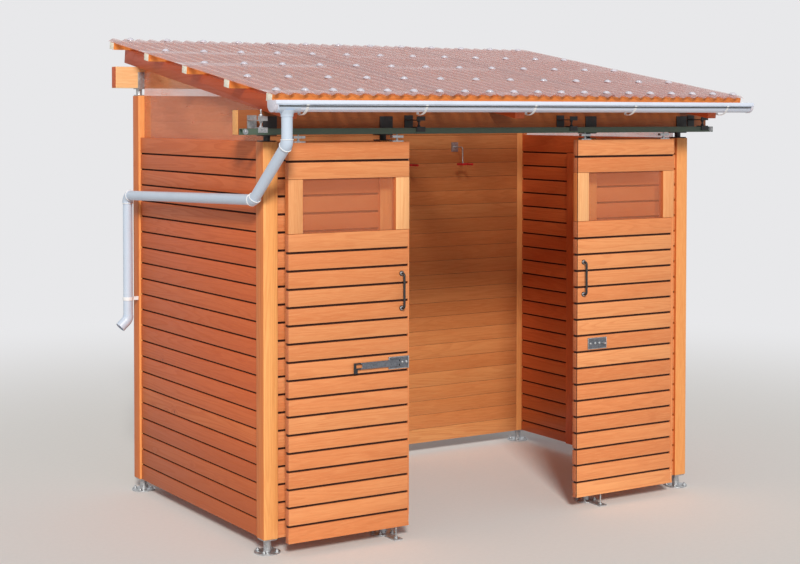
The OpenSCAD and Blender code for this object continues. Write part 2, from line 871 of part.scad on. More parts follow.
module left_door_channel() {
    color("gray") at_origin() door_channel(left_door_x);
}

module right_door_channel() {
    color("gray") at_origin() door_channel(right_door_x);
}

// Guide on the ground at a jamb post's foot: plate, upright pin and roller in the channel
module floor_guide(x) {
    roller_h = channel_h - channel_t - guide_clear;
    y0 = door_mid_y - guide_w / 2;
    translate([x, 0, 0]) {
        difference() {
            translate([-guide_w / 2, y0, 0])
                cube([guide_w, post_w / 2 - foot_plate_d / 2 - 0.3 - y0, guide_t]);
            for (side = [-1, 1]) translate([side * 15, door_mid_y - 14, -1])
                cylinder(d = 9, h = guide_t + 2);
        }
        translate([0, door_mid_y, 0]) {
            cylinder(d = 8, h = door_lift + roller_h);
            cylinder(d = 20, h = guide_t + 10);
            translate([0, 0, door_lift - 2]) cylinder(d = guide_roller_d, h = roller_h + 2);
        }
    }
}

module floor_guides() {
    color("silver") at_origin() for (side = [-1, 1])
        floor_guide(span_w / 2 + side * (doorway_w + post_w) / 2);
}

left_handle_in = 47;
right_handle_in = 43;

// Bow handle: two round feet and a bow of round bar that stands off the door
module bow_handle(x) {
    bar = 12;
    bend = 14;
    foot_d = 26;
    foot_l = 4;
    half = handle_l / 2 - 16;
    reach = handle_out - bar / 2;
    translate([x, -door_out, handle_z]) {
        for (side = [-1, 1]) translate([0, 0, side * half]) {
            rotate([90, 0, 0]) cylinder(d = foot_d, h = foot_l);
            rotate([90, 0, 0]) cylinder(d = bar, h = reach - bend);
            translate([0, bend - reach, -side * bend]) rotate([90, 0, 90])
                rotate([0, 0, side > 0 ? 90 : 180]) rotate_extrude(angle = 90, $fn = 48)
                    translate([bend, 0]) circle(d = bar, $fn = 24);
        }
        translate([0, -reach, bend - half]) cylinder(d = bar, h = 2 * (half - bend));
    }
}

module left_door_handle() {
    color("dimgray") at_origin() bow_handle(left_door_x + door_w - left_handle_in);
}

module right_door_handle() {
    color("dimgray") at_origin() bow_handle(right_door_x + right_handle_in);
}

// Hasp: a plate with the pin's outer knuckles on the left door, and a long arm whose
// slot drops over the staple on the right door when both are closed
hasp_plate_l = 120;
lock_plate_l = 130;
plate_h = 62;
hasp_h = 34;
hasp_t = 3;
hasp_stand = 11;
knuckle_d = 10;
pin_d = 5;
pin_play = 0.3;
arm_clear = 5;
knuckle_h = 10;
slot_l = 34;
slot_h = 18;
slot_end = 14;
slot_mid = hasp_arm_l - slot_end - slot_l / 2;
staple_rod = 6;
staple_w = 22;
hasp_pin_x = left_door_x + door_w - hasp_pin_in;
hasp_pin_y = -door_out - hasp_stand;
staple_x = right_door_x + slot_mid - hasp_pin_in - closed_gap;

module left_hasp_plate() {
    color("silver") at_origin() translate([0, 0, hasp_z]) {
        translate([hasp_pin_x + hasp_pin_in - hasp_plate_l - 4, -door_out - hasp_t, -plate_h / 2])
            cube([hasp_plate_l, hasp_t, plate_h]);
        for (side = [-1, 1]) translate([hasp_pin_x, hasp_pin_y, side * (hasp_h / 2 - knuckle_h / 2)])
            difference() {
                union() {
                    cylinder(d = knuckle_d, h = knuckle_h, center = true);
                    translate([-knuckle_d / 2, 0, -knuckle_h / 2])
                        cube([knuckle_d, hasp_stand - hasp_t, knuckle_h]);
                }
                cylinder(d = pin_d, h = knuckle_h + 2, center = true);
            }
        translate([hasp_pin_x, hasp_pin_y, 0]) cylinder(d = pin_d, h = hasp_h, center = true);
    }
}

// The arm lies folded back over the left door, which is open
module hasp_arm() {
    h = hasp_h - 2 * knuckle_h - 2 * pin_play;
    arm_y = hasp_stand - hasp_t - arm_clear - hasp_t;
    color("silver") at_origin() translate([hasp_pin_x, hasp_pin_y, hasp_z]) {
        difference() {
            union() {
                cylinder(d = knuckle_d, h = h, center = true);
                translate([-hasp_arm_l + 20, arm_y, -hasp_h / 2])
                    cube([hasp_arm_l - 20 - knuckle_d, hasp_t, hasp_h]);
                translate([-knuckle_d - 1, arm_y, -h / 2]) cube([knuckle_d + 1, hasp_t, h]);
                translate([-hasp_arm_l, arm_y, -hasp_h / 2 - 20]) cube([22, hasp_t, hasp_h + 20]);
            }
            cylinder(d = pin_d + 2 * pin_play, h = hasp_h, center = true);
            translate([-slot_mid - slot_l / 2, arm_y - 1, -slot_h / 2])
                cube([slot_l, hasp_t + 2, slot_h]);
        }
    }
}

// Plate and staple on the right door
module right_lock_plate() {
    loop_r = staple_w / 2 - staple_rod / 2;
    leg = 18;
    color("silver") at_origin() translate([staple_x, -door_out, hasp_z]) {
        translate([26 - lock_plate_l, -hasp_t, -plate_h / 2])
            cube([lock_plate_l, hasp_t, plate_h]);
        for (side = [-1, 1]) translate([side * loop_r, -hasp_t, 0]) rotate([90, 0, 0])
            cylinder(d = staple_rod, h = leg);
        translate([0, -hasp_t - leg, 0]) rotate([0, 0, 180])
            rotate_extrude(angle = 180, $fn = 48) translate([loop_r, 0]) circle(d = staple_rod, $fn = 24);
    }
}

// Hook for a hung bicycle: wall plate, bent rod and a fork with sleeved prongs
module bike_hook(x) {
    translate([x, span_d - post_w, hook_z]) {
        translate([-hook_plate_w / 2, -hook_plate_t, -hook_plate_h / 2])
            cube([hook_plate_w, hook_plate_t, hook_plate_h]);
        rotate([90, 0, 0]) cylinder(d = hook_rod_d, h = hook_out - hook_bend);
        translate([0, hook_bend - hook_out, -hook_bend]) rotate([90, 0, -90])
            rotate_extrude(angle = 90, $fn = 48) translate([hook_bend, 0])
                circle(d = hook_rod_d, $fn = 24);
        translate([0, -hook_out, -hook_drop]) cylinder(d = hook_rod_d, h = hook_drop - hook_bend);
        translate([-hook_fork_w / 2, -hook_out, -hook_drop]) rotate([0, 90, 0])
            cylinder(d = hook_sleeve_d, h = hook_fork_w);
        for (side = [-1, 1]) translate([side * (hook_fork_w - hook_sleeve_d) / 2, -hook_out, -hook_drop])
            rotate([90, 0, 0]) cylinder(d = hook_sleeve_d, h = hook_prong_l);
    }
}

module bike_hooks() {
    color("firebrick") at_origin() for (x = hook_places) bike_hook(x);
}

front_left_post();
front_right_post();
rear_left_post();
rear_right_post();
left_jamb_post();
right_jamb_post();
corner_feet();
jamb_feet();
beam_shoes();
front_shoes();
left_wall();
right_wall();
back_wall();
left_front_panel();
right_front_panel();
front_beam();
rear_beam();
rafters();
eave_purlin();
purlins();
roof_sheets();
left_gable_pane();
right_gable_pane();
gutter();
gutter_end_caps();
gutter_brackets();
gutter_outlet();
downpipe();
pipe_elbows();
pipe_tail();
pipe_clips();
door_rail();
rail_brackets();
floor_guides();
bike_hooks();
left_door_leaf();
left_door_pane();
left_door_hangers();
left_door_channel();
left_door_handle();
left_hasp_plate();
hasp_arm();
right_door_leaf();
right_door_pane();
right_door_hangers();
right_door_channel();
right_door_handle();
right_lock_plate();
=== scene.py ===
import json
import math
import random

import bmesh
import bpy
from bpy.props import FloatProperty, FloatVectorProperty, IntProperty, PointerProperty
from mathutils import Matrix, Vector

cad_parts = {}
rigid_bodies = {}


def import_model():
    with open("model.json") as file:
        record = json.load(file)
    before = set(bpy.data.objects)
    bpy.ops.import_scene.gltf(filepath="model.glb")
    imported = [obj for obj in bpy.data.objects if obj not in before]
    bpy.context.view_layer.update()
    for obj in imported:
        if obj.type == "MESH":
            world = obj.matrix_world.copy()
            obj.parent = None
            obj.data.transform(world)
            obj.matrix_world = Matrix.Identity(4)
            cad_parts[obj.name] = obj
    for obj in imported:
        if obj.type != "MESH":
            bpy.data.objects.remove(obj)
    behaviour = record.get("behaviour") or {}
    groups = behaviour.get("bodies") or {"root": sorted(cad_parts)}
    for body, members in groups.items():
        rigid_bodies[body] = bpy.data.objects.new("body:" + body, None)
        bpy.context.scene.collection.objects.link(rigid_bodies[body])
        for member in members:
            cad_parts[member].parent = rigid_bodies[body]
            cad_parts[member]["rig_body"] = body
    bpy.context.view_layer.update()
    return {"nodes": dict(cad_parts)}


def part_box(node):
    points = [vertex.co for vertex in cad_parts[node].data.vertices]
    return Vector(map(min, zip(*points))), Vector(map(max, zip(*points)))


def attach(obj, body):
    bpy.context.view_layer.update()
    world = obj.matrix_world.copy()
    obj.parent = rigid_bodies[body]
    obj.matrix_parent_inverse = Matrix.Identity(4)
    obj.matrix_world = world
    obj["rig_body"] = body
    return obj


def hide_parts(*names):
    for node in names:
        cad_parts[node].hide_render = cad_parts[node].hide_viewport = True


bl_info = {
    "name": "Bicycle shelter",
    "version": (1, 0, 0),
    "blender": (4, 5, 0),
    "location": "View3D > Sidebar > Shelter",
    "description": "Dresses the timber bicycle shelter: boards, roof, rain water goods and sliding gear",
    "category": "Object",
}

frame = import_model()
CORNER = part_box("front_left_post")[0]


def at(x, y, z):
    """Point for millimetres from the left front post's outer front corner, on the ground."""
    return Vector((CORNER.x + x / 1000, CORNER.y + y / 1000, z / 1000))


def tint(name, about, colour):
    """Colour property with its sRGB value given in 0 to 255."""
    shares = [c / 255 for c in colour]
    linear = [(c / 12.92 if c <= 0.04045 else ((c + 0.055) / 1.055) ** 2.4) for c in shares]
    return FloatVectorProperty(
        name=name, description=about, subtype="COLOR", size=3, min=0, max=1, default=linear
    )


def span(name, about, value, low, high):
    """Length property in metres."""
    return FloatProperty(name=name, description=about, default=value, min=low, max=high, unit="LENGTH")


def count(name, about, value, low, high):
    """Whole number property."""
    return IntProperty(name=name, description=about, default=value, min=low, max=high)


class ShelterTimber(bpy.types.PropertyGroup):
    """Boards and timbers."""

    pitch: span("Board pitch", "Height that one board covers", 0.088, 0.05, 0.2)
    gap: span("Shadow gap", "Height of the gap between two boards", 0.0112, 0.002, 0.02)
    wall_gap: span("Wall gap", "Height of the gap between two boards of a wall", 0.0092, 0.002, 0.02)
    lift: span("Gap lift", "Height of a gap's upper edge over the board's pitch line", 0.003, 0.0, 0.01)
    groove: span("Gap depth", "Depth of the shadow gap", 0.009, 0.002, 0.012)
    edge: span("Eased edge", "Radius of the boards' and posts' edges", 0.0028, 0.0005, 0.006)
    stile: span("Window stile", "Width of the upright board beside a window", 0.080, 0.05, 0.12)
    drop: span("Right wall drop", "How much lower the right wall's gaps sit", 0.022, 0.0, 0.06)
    batten_back: span("Batten place", "From the right wall's rear edge to its batten", 0.498, 0.1, 1.2)
    batten_w: span("Batten width", "Width of the batten inside the right wall", 0.080, 0.04, 0.12)
    batten_t: span("Batten thickness", "Thickness of the same batten", 0.024, 0.01, 0.05)
    stop_left: span("Left gap stop", "Filled end of the left door's gaps", 0.0064, 0.006, 0.04)
    stop_right: span("Right gap stop", "Filled end of the right door's gaps", 0.016, 0.006, 0.04)
    rows_over: count("Boards over the window", "Rows above the pane", 2, 1, 4)
    rows_window: count("Window rows", "Rows that the pane takes up", 3, 2, 5)
    door: tint("Door boards", "Colour of the doors", (229, 151, 95))
    wall: tint("Wall boards", "Colour of the side walls", (212, 107, 52))
    back: tint("Back wall", "Colour of the back wall", (212, 142, 86))
    sawn: tint("Door ends", "Colour of the sawn ends of the doors' boards", (206, 122, 82))
    post: tint("Posts", "Colour of the posts", (248, 178, 108))
    stile_wood: tint("Stiles", "Colour of the upright boards beside a window", (241, 177, 120))
    rear: tint("Rear beam", "Colour of the rear beam", (252, 206, 150))
    # Painted shade: the front beam's colour is darkened for the shade under the eave
    beam: tint("Beams", "Colour of the beams", (160, 94, 44))
    rafter: tint("Rafters", "Colour of the rafters", (206, 92, 40))
    purlin: tint("Purlins", "Colour of the purlins", (240, 142, 66))
    # Painted shade: the colour of the dark wood inside the gaps
    joint: tint("Joints", "Colour inside the shadow gaps", (46, 17, 8))
    end: tint("End grain", "Colour of the purlins' sawn ends", (255, 252, 240))


class ShelterRoof(bpy.types.PropertyGroup):
    """Roof slope and sheets."""

    slope: FloatProperty(
        name="Slope", description="Pitch of the roof", default=math.radians(9.1), subtype="ANGLE"
    )
    eave: span("Eave reach", "Reach of the eave purlin before the posts, up the slope", 0.262, 0.2, 0.4)
    seat: span("Purlin seat", "Height of the purlins over the rafters' undersides", 0.080, 0.05, 0.12)
    sheet_seat: span("Sheet seat", "Height of the sheets over the rafters' undersides", 0.120, 0.08, 0.16)
    sheet_front: span("Sheet front", "Reach of the sheets before the posts, up the slope", 0.287, 0.2, 0.4)
    sheet_back: span("Sheet back", "Reach of the sheets behind the posts' front", 1.779, 1.4, 2.4)
    wave: span("Wave", "Width of one corrugation", 0.076, 0.05, 0.1)
    rise: span("Rise", "Height of the corrugations", 0.016, 0.01, 0.03)
    skin: span("Skin", "Thickness of the sheet", 0.002, 0.001, 0.004)
    waves: count("Waves", "Corrugations over the whole roof", 39, 12, 60)
    cap: span("Screw cap", "Radius of a screw cap", 0.021, 0.01, 0.03)
    sheet: tint("Sheet", "Colour of the clear sheets", (250, 214, 212))
    lid: tint("Caps", "Colour of the screw caps and the gutter's end caps", (236, 236, 250))
    glaze: tint("Gable panes", "Colour of the clear panes under the verges", (248, 152, 106))
    tinted: tint("Window panes", "Colour of the clear panes in the doors", (220, 130, 90))


class ShelterMetal(bpy.types.PropertyGroup):
    """Rain water goods and ironmongery."""

    gutter: tint("Gutter", "Colour of the gutter", (222, 232, 250))
    pipe: tint("Pipes", "Colour of outlet and pipes", (200, 214, 232))
    strap: tint("Straps", "Colour of the gutter straps", (238, 240, 243))
    zinc: tint("Zinc", "Colour of the galvanised parts", (188, 191, 194))
    steel: tint("Steel", "Colour of the hasp", (122, 126, 134))
    rail: tint("Rail", "Colour of the rail", (72, 90, 76))
    black: tint("Black", "Colour of handles and plates", (34, 35, 38))
    sleeve: tint("Hook sleeve", "Colour of the sleeves on the hooks", (204, 36, 42))


class ShelterStage(bpy.types.PropertyGroup):
    """Floor, lamps and camera."""

    floor: tint("Floor", "Colour of the floor", (236, 235, 233))
    back: tint("Backdrop", "Colour behind the shelter", (232, 232, 234))
    near: span("Near floor", "Radius up to which the floor has its own colour", 2.6, 1.0, 6.0)
    far: span("Far floor", "Radius from which the floor is lost in the backdrop", 8.0, 3.0, 20.0)
    lens: FloatProperty(
        name="Lens", description="Focal length", default=71.42, min=20, max=200, unit="CAMERA"
    )
    key: FloatProperty(name="Key", description="Strength of the key lamp", default=2.7, min=0, max=20)
    sky: FloatProperty(name="Sky", description="Strength of the sky light", default=0.32, min=0, max=4)


# Shader maths


class Value:
    """A shader socket that Python's operators work on."""

    def __init__(self, finish, socket):
        self.finish = finish
        self.socket = socket

    def maths(self, operation, *others):
        """Math node with this socket and the others as its operands."""
        operands = dict(enumerate((self,) + others))
        return self.finish.node("ShaderNodeMath", {"operation": operation}, operands)

    def __add__(self, other):
        return self.maths("ADD", other)

    def __sub__(self, other):
        return self.maths("SUBTRACT", other)

    def __rsub__(self, other):
        return self.finish.node("ShaderNodeMath", {"operation": "SUBTRACT"}, {0: other, 1: self})

    def __mul__(self, other):
        return self.maths("MULTIPLY", other)

    __radd__ = __add__
    __rmul__ = __mul__

    def other(self, name):
        """Another output of the same node."""
        return Value(self.finish, self.socket.node.outputs[name])

    def part(self, index):
        """X, Y or Z of a vector, or red, green or blue."""
        return self.finish.node("ShaderNodeSeparateXYZ", None, {0: self}, index)

    def ramp(self, low, high):
        """Smooth step from 0 at low to 1 at high."""
        return self.finish.node(
            "ShaderNodeMapRange",
            {"interpolation_type": "SMOOTHSTEP"},
            {"Value": self, "From Min": low, "From Max": high, "To Min": 0.0, "To Max": 1.0},
        )

    def shifted(self, other):
        """Vector sum."""
        return self.finish.node("ShaderNodeVectorMath", {"operation": "ADD"}, {0: self, 1: other})

    def scaled(self, scale):
        """Vector with each axis scaled."""
        return self.finish.node("ShaderNodeVectorMath", {"operation": "MULTIPLY"}, {0: self, 1: scale})


class Finish:
    """Builds the nodes of one material or world."""

    def __init__(self, owner):
        owner.use_nodes = True
        self.owner = owner
        self.tree = owner.node_tree
        self.tree.nodes.clear()

    def node(self, kind, settings=None, values=None, out=0):
        """Adds a node: its settings first, then its sockets' values or links."""
        made = self.tree.nodes.new(kind)
        for key, value in (settings or {}).items():
            setattr(made, key, value)
        for key, value in (values or {}).items():
            if isinstance(value, Value):
                self.tree.links.new(value.socket, made.inputs[key])
            else:
                made.inputs[key].default_value = value
        return Value(self, made.outputs[out]) if made.outputs else None

    def place(self):
        """Object coordinates."""
        return self.node("ShaderNodeTexCoord", out="Object")

    def noise(self, where, scale, detail=3.0, rough=0.55, warp=0.0):
        """Cloudy pattern from 0 to 1."""
        sockets = {"Vector": where, "Scale": scale, "Detail": detail, "Roughness": rough, "Distortion": warp}
        return self.node("ShaderNodeTexNoise", {"normalize": True}, sockets)

    def cells(self, where, scale, out):
        """Distance to the nearest of many scattered points, or that point's random colour."""
        return self.node("ShaderNodeTexVoronoi", {"feature": "F1"}, {"Vector": where, "Scale": scale}, out)

    def mix(self, share, a, b, blend="MIX"):
        """Mixes two colours."""
        settings = {"data_type": "RGBA", "blend_type": blend, "clamp_factor": True}
        return self.node("ShaderNodeMix", settings, {0: share, 6: a, 7: b}, 2)

    def bump(self, height, strength, distance):
        """Normal that follows a height."""
        sockets = {"Height": height, "Strength": strength, "Distance": distance}
        return self.node("ShaderNodeBump", None, sockets, "Normal")

    def shine(self, **sockets):
        """Ends the material in a Principled shader with these sockets."""
        values = {key.replace("_", " "): value for key, value in sockets.items()}
        skin = self.node("ShaderNodeBsdfPrincipled", None, values, "BSDF")
        self.node("ShaderNodeOutputMaterial", None, {"Surface": skin})
        return self.owner


def coat(name):
    """Empty material with its nodes ready to be built."""
    return Finish(bpy.data.materials.new(name))


def shade(colour, factor=1.0):
    """Colour times a factor, as four numbers."""
    return tuple(min(1.0, c * factor) for c in tuple(colour)[:3]) + (1,)


def warmer(colour, scales):
    """Colour with its red, green and blue each scaled, as four numbers."""
    return tuple(min(1, c * scale) for c, scale in zip(tuple(colour)[:3], scales)) + (1,)


# How far the figure of the wood is drawn out along its grain
GRAIN = {"x": (0.05, 1.0, 1.0), "y": (1.0, 0.05, 1.0), "z": (1.0, 1.0, 0.05)}

# How each mark in the wood scales the red, green and blue of its colour
DEEP_BOARD = (0.94, 0.77, 0.67)
PALE_BOARD = (1.08, 1.20, 1.25)
DARK_BOARD = (0.80, 0.62, 0.50)
WEATHERED = (0.90, 0.74, 0.62)
LATE_WOOD = (0.78, 0.58, 0.44)
STREAKS = (0.80, 0.60, 0.46)
FIBRES = (1.10, 1.24, 1.34)
ROUND_KNOT = (0.72, 0.50, 0.35)
KNOT_HEART = (0.26, 0.12, 0.08)
DARKER_FOOT = (0.56, 0.66, 0.78)
# Painted highlight: paler downward faces at the lower edges of level boards
UNDERSIDE_PAINTED_HIGHLIGHT = (1.15, 1.45, 1.75)
SAW_MARKS = (0.84, 0.76, 0.62)

# Painted shade on the posts' and stiles' side faces, which lie away from the light
POST_SIDE_SHADE = (0.77, 0.47, 0.31)

# Heights between which the walls' darker foot fades out
DARKENING_TOP = 0.95
DARKENING_FOOT = 0.05


def timber(name, colour, along, end=None, side_shade=None, foot_darkening=0.0):
    """Oiled softwood with growth rings, fibres, a few knots, sawn ends, a tone for each board and a painted
    highlight under level timber; where asked, painted shade on side faces and a darker foot.
    """
    f = coat(name)
    board = f.node("ShaderNodeAttribute", {"attribute_name": "board"}, out="Fac")
    jump = f.node("ShaderNodeCombineXYZ", None, {0: board * 5.3, 1: board * 3.7, 2: board * 7.1})
    where = f.place().shifted(jump)
    grain = where.scaled(GRAIN[along])

    knot = f.cells(where, 4.6, "Distance")
    kept = knot.other("Color").part(0).ramp(0.74, 0.77)
    pull = knot.ramp(0.26, 0.02) * kept
    heart = knot.ramp(0.050, 0.026) * kept
    ring = (f.noise(grain, 9.0, 2.0, 0.45, 0.25) * 19 + pull * 0.9).maths("FRACT")
    late = ring.ramp(0.30, 0.90) * ring.ramp(1.0, 0.94)
    fibre = f.noise(grain, 300.0, 2.0, 0.6)
    streak = f.noise(grain, 70.0, 3.0, 0.65)
    patch = f.noise(where.scaled([0.4 + 0.6 * g for g in GRAIN[along]]), 5.0, 2.0, 0.5)
    hue = (board * 37.7).maths("FRACT")
    tone = (board * 91.3).maths("FRACT")

    body = f.mix(hue, warmer(colour, DEEP_BOARD), warmer(colour, PALE_BOARD))
    body = f.mix(tone * tone * 0.80, body, warmer(colour, DARK_BOARD))
    body = f.mix(patch.ramp(0.35, 0.65) * 0.30, body, warmer(colour, WEATHERED))
    body = f.mix(late * 0.38, body, warmer(colour, LATE_WOOD))
    body = f.mix(streak.ramp(0.48, 0.72) * 0.46, body, warmer(colour, STREAKS))
    body = f.mix(fibre.ramp(0.40, 0.75) * 0.34, body, warmer(colour, FIBRES))
    body = f.mix(pull * 0.35, body, warmer(colour, ROUND_KNOT))
    body = f.mix(heart * 0.9, body, warmer(colour, KNOT_HEART))

    normal = f.node("ShaderNodeNewGeometry", out="Normal")
    # Darker and greyer towards the foot
    if foot_darkening:
        foot = f.place().part(2).ramp(DARKENING_TOP, DARKENING_FOOT)
        body = f.mix(foot * foot_darkening, body, warmer(colour, DARKER_FOOT))
    # Painted highlight: downward-facing faces of level timber, such as the lower eased edges, are made paler
    if along != "z":
        lit_underside = normal.part(2).ramp(-0.12, -0.45) * normal.part(2).ramp(-0.98, -0.80)
        body = f.mix(lit_underside * 0.8, body, warmer(colour, UNDERSIDE_PAINTED_HIGHLIGHT))
    # Painted shade: faces turned to either side along x are darkened
    if side_shade:
        side = normal.part(0).maths("ABSOLUTE").ramp(0.55, 0.85)
        body = f.mix(side, body, shade(side_shade), "MULTIPLY")
    facing = normal.part("xyz".index(along)).maths("ABSOLUTE").ramp(0.72, 0.80)
    saw = f.noise(where, 120.0, 3.0, 0.7)
    cut = f.mix(saw.ramp(0.35, 0.7), shade(end or colour), warmer(end or colour, SAW_MARKS))
    body = f.mix(facing, body, cut)

    rough = fibre * 0.16 + late * 0.06 + 0.42
    relief = fibre * 0.35 + late * 0.5 + heart * 0.6
    return f.shine(Base_Color=body, Roughness=rough, Normal=f.bump(relief, 0.40, 0.0012))


def shadow_gap(name, colour):
    """Dark wood at the foot of a gap, as painted shade."""
    f = coat(name)
    fuzz = f.noise(f.place().scaled((0.3, 0.3, 3.0)), 60.0, 4.0, 0.6)
    body = f.mix(fuzz, shade(colour, 0.7), shade(colour, 1.3))
    return f.shine(Base_Color=body, Roughness=fuzz * 0.1 + 0.9, Normal=f.bump(fuzz, 0.3, 0.001))


def plastic(name, colour, rough):
    """Moulded plastic with faint rain streaks, dust and orange peel."""
    f = coat(name)
    where = f.place()
    dust = f.noise(where, 7.0, 4.0, 0.6)
    runs = f.noise(where.scaled((60.0, 60.0, 3.0)), 1.0, 3.0, 0.5)
    peel = f.noise(where, 900.0, 1.0)
    body = f.mix(dust.ramp(0.45, 0.75) * 0.35, shade(colour), shade(colour, 0.82))
    body = f.mix(runs.ramp(0.55, 0.8) * 0.22, body, warmer(colour, (0.86, 0.82, 0.76)))
    return f.shine(Base_Color=body, Roughness=dust * 0.15 + rough, Normal=f.bump(peel, 0.06, 0.0004))


def zinc(name, colour):
    """Hot-dip galvanised steel: spangles, dull patches and a few stains."""
    f = coat(name)
    where = f.place()
    flake = f.node("ShaderNodeSeparateColor", None, {0: f.cells(where, 170.0, "Color")}, 0)
    dull = f.noise(where, 34.0, 4.0, 0.65)
    stain = f.noise(where, 9.0, 4.0, 0.7)
    body = f.mix(flake, shade(colour, 0.72), shade(colour, 1.12))
    body = f.mix(dull.ramp(0.5, 0.72) * 0.6, body, shade(colour, 0.85))
    body = f.mix(stain.ramp(0.58, 0.78) * 0.35, body, warmer(colour, (0.62, 0.55, 0.46)))
    return f.shine(
        Base_Color=body,
        Metallic=0.82,
        Roughness=flake * 0.16 + dull * 0.22 + 0.22,
        Normal=f.bump(dull * 0.6 + flake * 0.2, 0.12, 0.0006),
    )


def enamel(name, colour):
    """Stoved paint on steel, with dust in its hollows and thin scuffs."""
    f = coat(name)
    where = f.place()
    dust = f.noise(where, 16.0, 4.0, 0.65)
    scuff = f.noise(where.scaled((8.0, 90.0, 90.0)), 2.5, 4.0, 0.7)
    peel = f.noise(where, 700.0, 1.0)
    bare = (0.34, 0.33, 0.32, 1)
    body = f.mix(dust.ramp(0.42, 0.78) * 0.5, shade(colour), warmer(colour, (1.45, 1.38, 1.3)))
    body = f.mix(scuff.ramp(0.66, 0.74) * 0.25, body, bare)
    relief = f.bump(peel + scuff, 0.10, 0.0004)
    return f.shine(Base_Color=body, Roughness=dust * 0.24 + 0.38, Normal=relief)


def clear(name, colour, haze, streaks, dust=1.0, wave=0.0, start=0.0):
    """Clear sheet with a milky haze, dust in streaks and, where it is corrugated, denser flanks, one flank
    of each wave with painted shade.
    """
    f = coat(name)
    where = f.place()
    streak = f.noise(where.scaled(streaks), 1.0, 4.0, 0.6)
    patch = f.noise(where, 3.2, 4.0, 0.6)
    film = streak.ramp(0.4, 0.8) * 0.14 * dust + patch.ramp(0.4, 0.8) * 0.10 * dust
    body = f.mix(patch, shade(colour), warmer(colour, (0.92, 0.88, 0.86)))
    veil = film + haze
    if wave:
        swell = ((where.part(0) - start) * (2 * math.pi / wave)).maths("SINE")
        dense_shaded_flank = swell.maths("MAXIMUM", 0.0)
        dense_shaded_flank = dense_shaded_flank * dense_shaded_flank
        veil = veil + dense_shaded_flank * 0.36 + swell * swell * 0.08
        # Painted shade: one flank of each wave is darker
        body = f.mix(dense_shaded_flank * 0.85, body, warmer(colour, (0.56, 0.46, 0.46)))
    return f.shine(
        Base_Color=body,
        Roughness=film * 0.8 + 0.10,
        Alpha=veil,
        IOR=1.49,
        Normal=f.bump(streak * 0.6 + patch, 0.05, 0.001),
    )


class Kit:
    """Finishes shared by the operators, made when first asked for."""

    made = {}

    @classmethod
    def get(cls, name, maker, *values):
        """Finish of a name, made by its maker the first time."""
        if name not in cls.made:
            cls.made[name] = maker(name, *values)
        return cls.made[name]


def wood(kind, along, end=None, side_shade=None, foot_darkening=0.0):
    """Timber of one kind with its grain along x, y or z."""
    t = bpy.context.scene.shelter_timber
    sawn = end and tuple(getattr(t, end))
    return Kit.get(f"{kind}_timber_{along}", timber, tuple(getattr(t, kind)), along, sawn, side_shade, foot_darkening)


def gap_shade_wood():
    """Dark wood that paints the shade inside the gaps."""
    return Kit.get("gap_wood", shadow_gap, tuple(bpy.context.scene.shelter_timber.joint))


def cap_plastic():
    """Hazy plastic of the roof's screw caps and of the gutter's end caps."""
    lid = tuple(bpy.context.scene.shelter_roof.lid)
    return Kit.get("cap_plastic", clear, lid, 0.70, (20.0, 20.0, 20.0))


# Material, maker and surface roughness of each metal or plastic that isn't enamelled
SURFACES = {
    "zinc": ("galvanised_steel", zinc),
    "steel": ("dark_steel", zinc),
    "gutter": ("gutter_plastic", plastic, 0.30),
    "pipe": ("pipe_plastic", plastic, 0.30),
    "strap": ("strap_paint", plastic, 0.26),
    "sleeve": ("sleeve_plastic", plastic, 0.34),
}


def metal(kind):
    """Finish of one kind of metal or plastic."""
    colour = tuple(getattr(bpy.context.scene.shelter_metal, kind))
    name, maker, *rough = SURFACES.get(kind, (kind + "_enamel", enamel))
    return Kit.get(name, maker, colour, *rough)


# Meshes


def finish_mesh(bm, name, materials, body, nodes, smooth=35, board=True):
    """Turns a bmesh into a piece that rides on a body and stands for the given nodes."""
    layer = bm.faces.layers.float.get("board") or bm.faces.layers.float.new("board")
    if board:
        number_boards(bm, layer, name)
    for face in bm.faces:
        face.smooth = True
    for edge in bm.edges:
        if len(edge.link_faces) != 2 or edge.calc_face_angle(0) > math.radians(smooth):
            edge.smooth = False
    mesh = bpy.data.meshes.new(name)
    bm.to_mesh(mesh)
    bm.free()
    piece = bpy.data.objects.new(name, mesh)
    bpy.context.scene.collection.objects.link(piece)
    for material in materials:
        mesh.materials.append(material)
    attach(piece, body)
    if nodes:
        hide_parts(*nodes)


def number_boards(bm, layer, name):
    """Gives every loose part a number of its own, which its wood reads."""
    chance = random.Random(name)
    bm.faces.ensure_lookup_table()
    left = set(bm.faces)
    while left:
        seed = min(left, key=lambda face: face.index)
        number, reach = chance.random(), [seed]
        left.discard(seed)
        while reach:
            face = reach.pop()
            face[layer] = number
            for edge in face.edges:
                for other in edge.link_faces:
                    if other in left:
                        left.discard(other)
                        reach.append(other)


def ease(bm, radius, segments, angle=30):
    """Rounds the edges sharper than an angle."""
    sharp = math.radians(angle)
    edges = [e for e in bm.edges if len(e.link_faces) == 2 and e.calc_face_angle(0) > sharp]
    if edges:
        bmesh.ops.bevel(
            bm, geom=edges, offset=radius, offset_type="OFFSET", segments=segments, profile=0.5,
            affect="EDGES", clamp_overlap=True, material=-1,
        )


def turned_to(axis):
    """Matrix that turns the z axis to a direction."""
    return Vector(axis).to_track_quat("Z", "Y").to_matrix().to_4x4()


def join(bm, part, material=0):
    """Adds one bmesh to another."""
    for face in part.faces:
        face.material_index = material
    mesh = bpy.data.meshes.new("part")
    part.to_mesh(mesh)
    part.free()
    bm.from_mesh(mesh)
    bpy.data.meshes.remove(mesh)


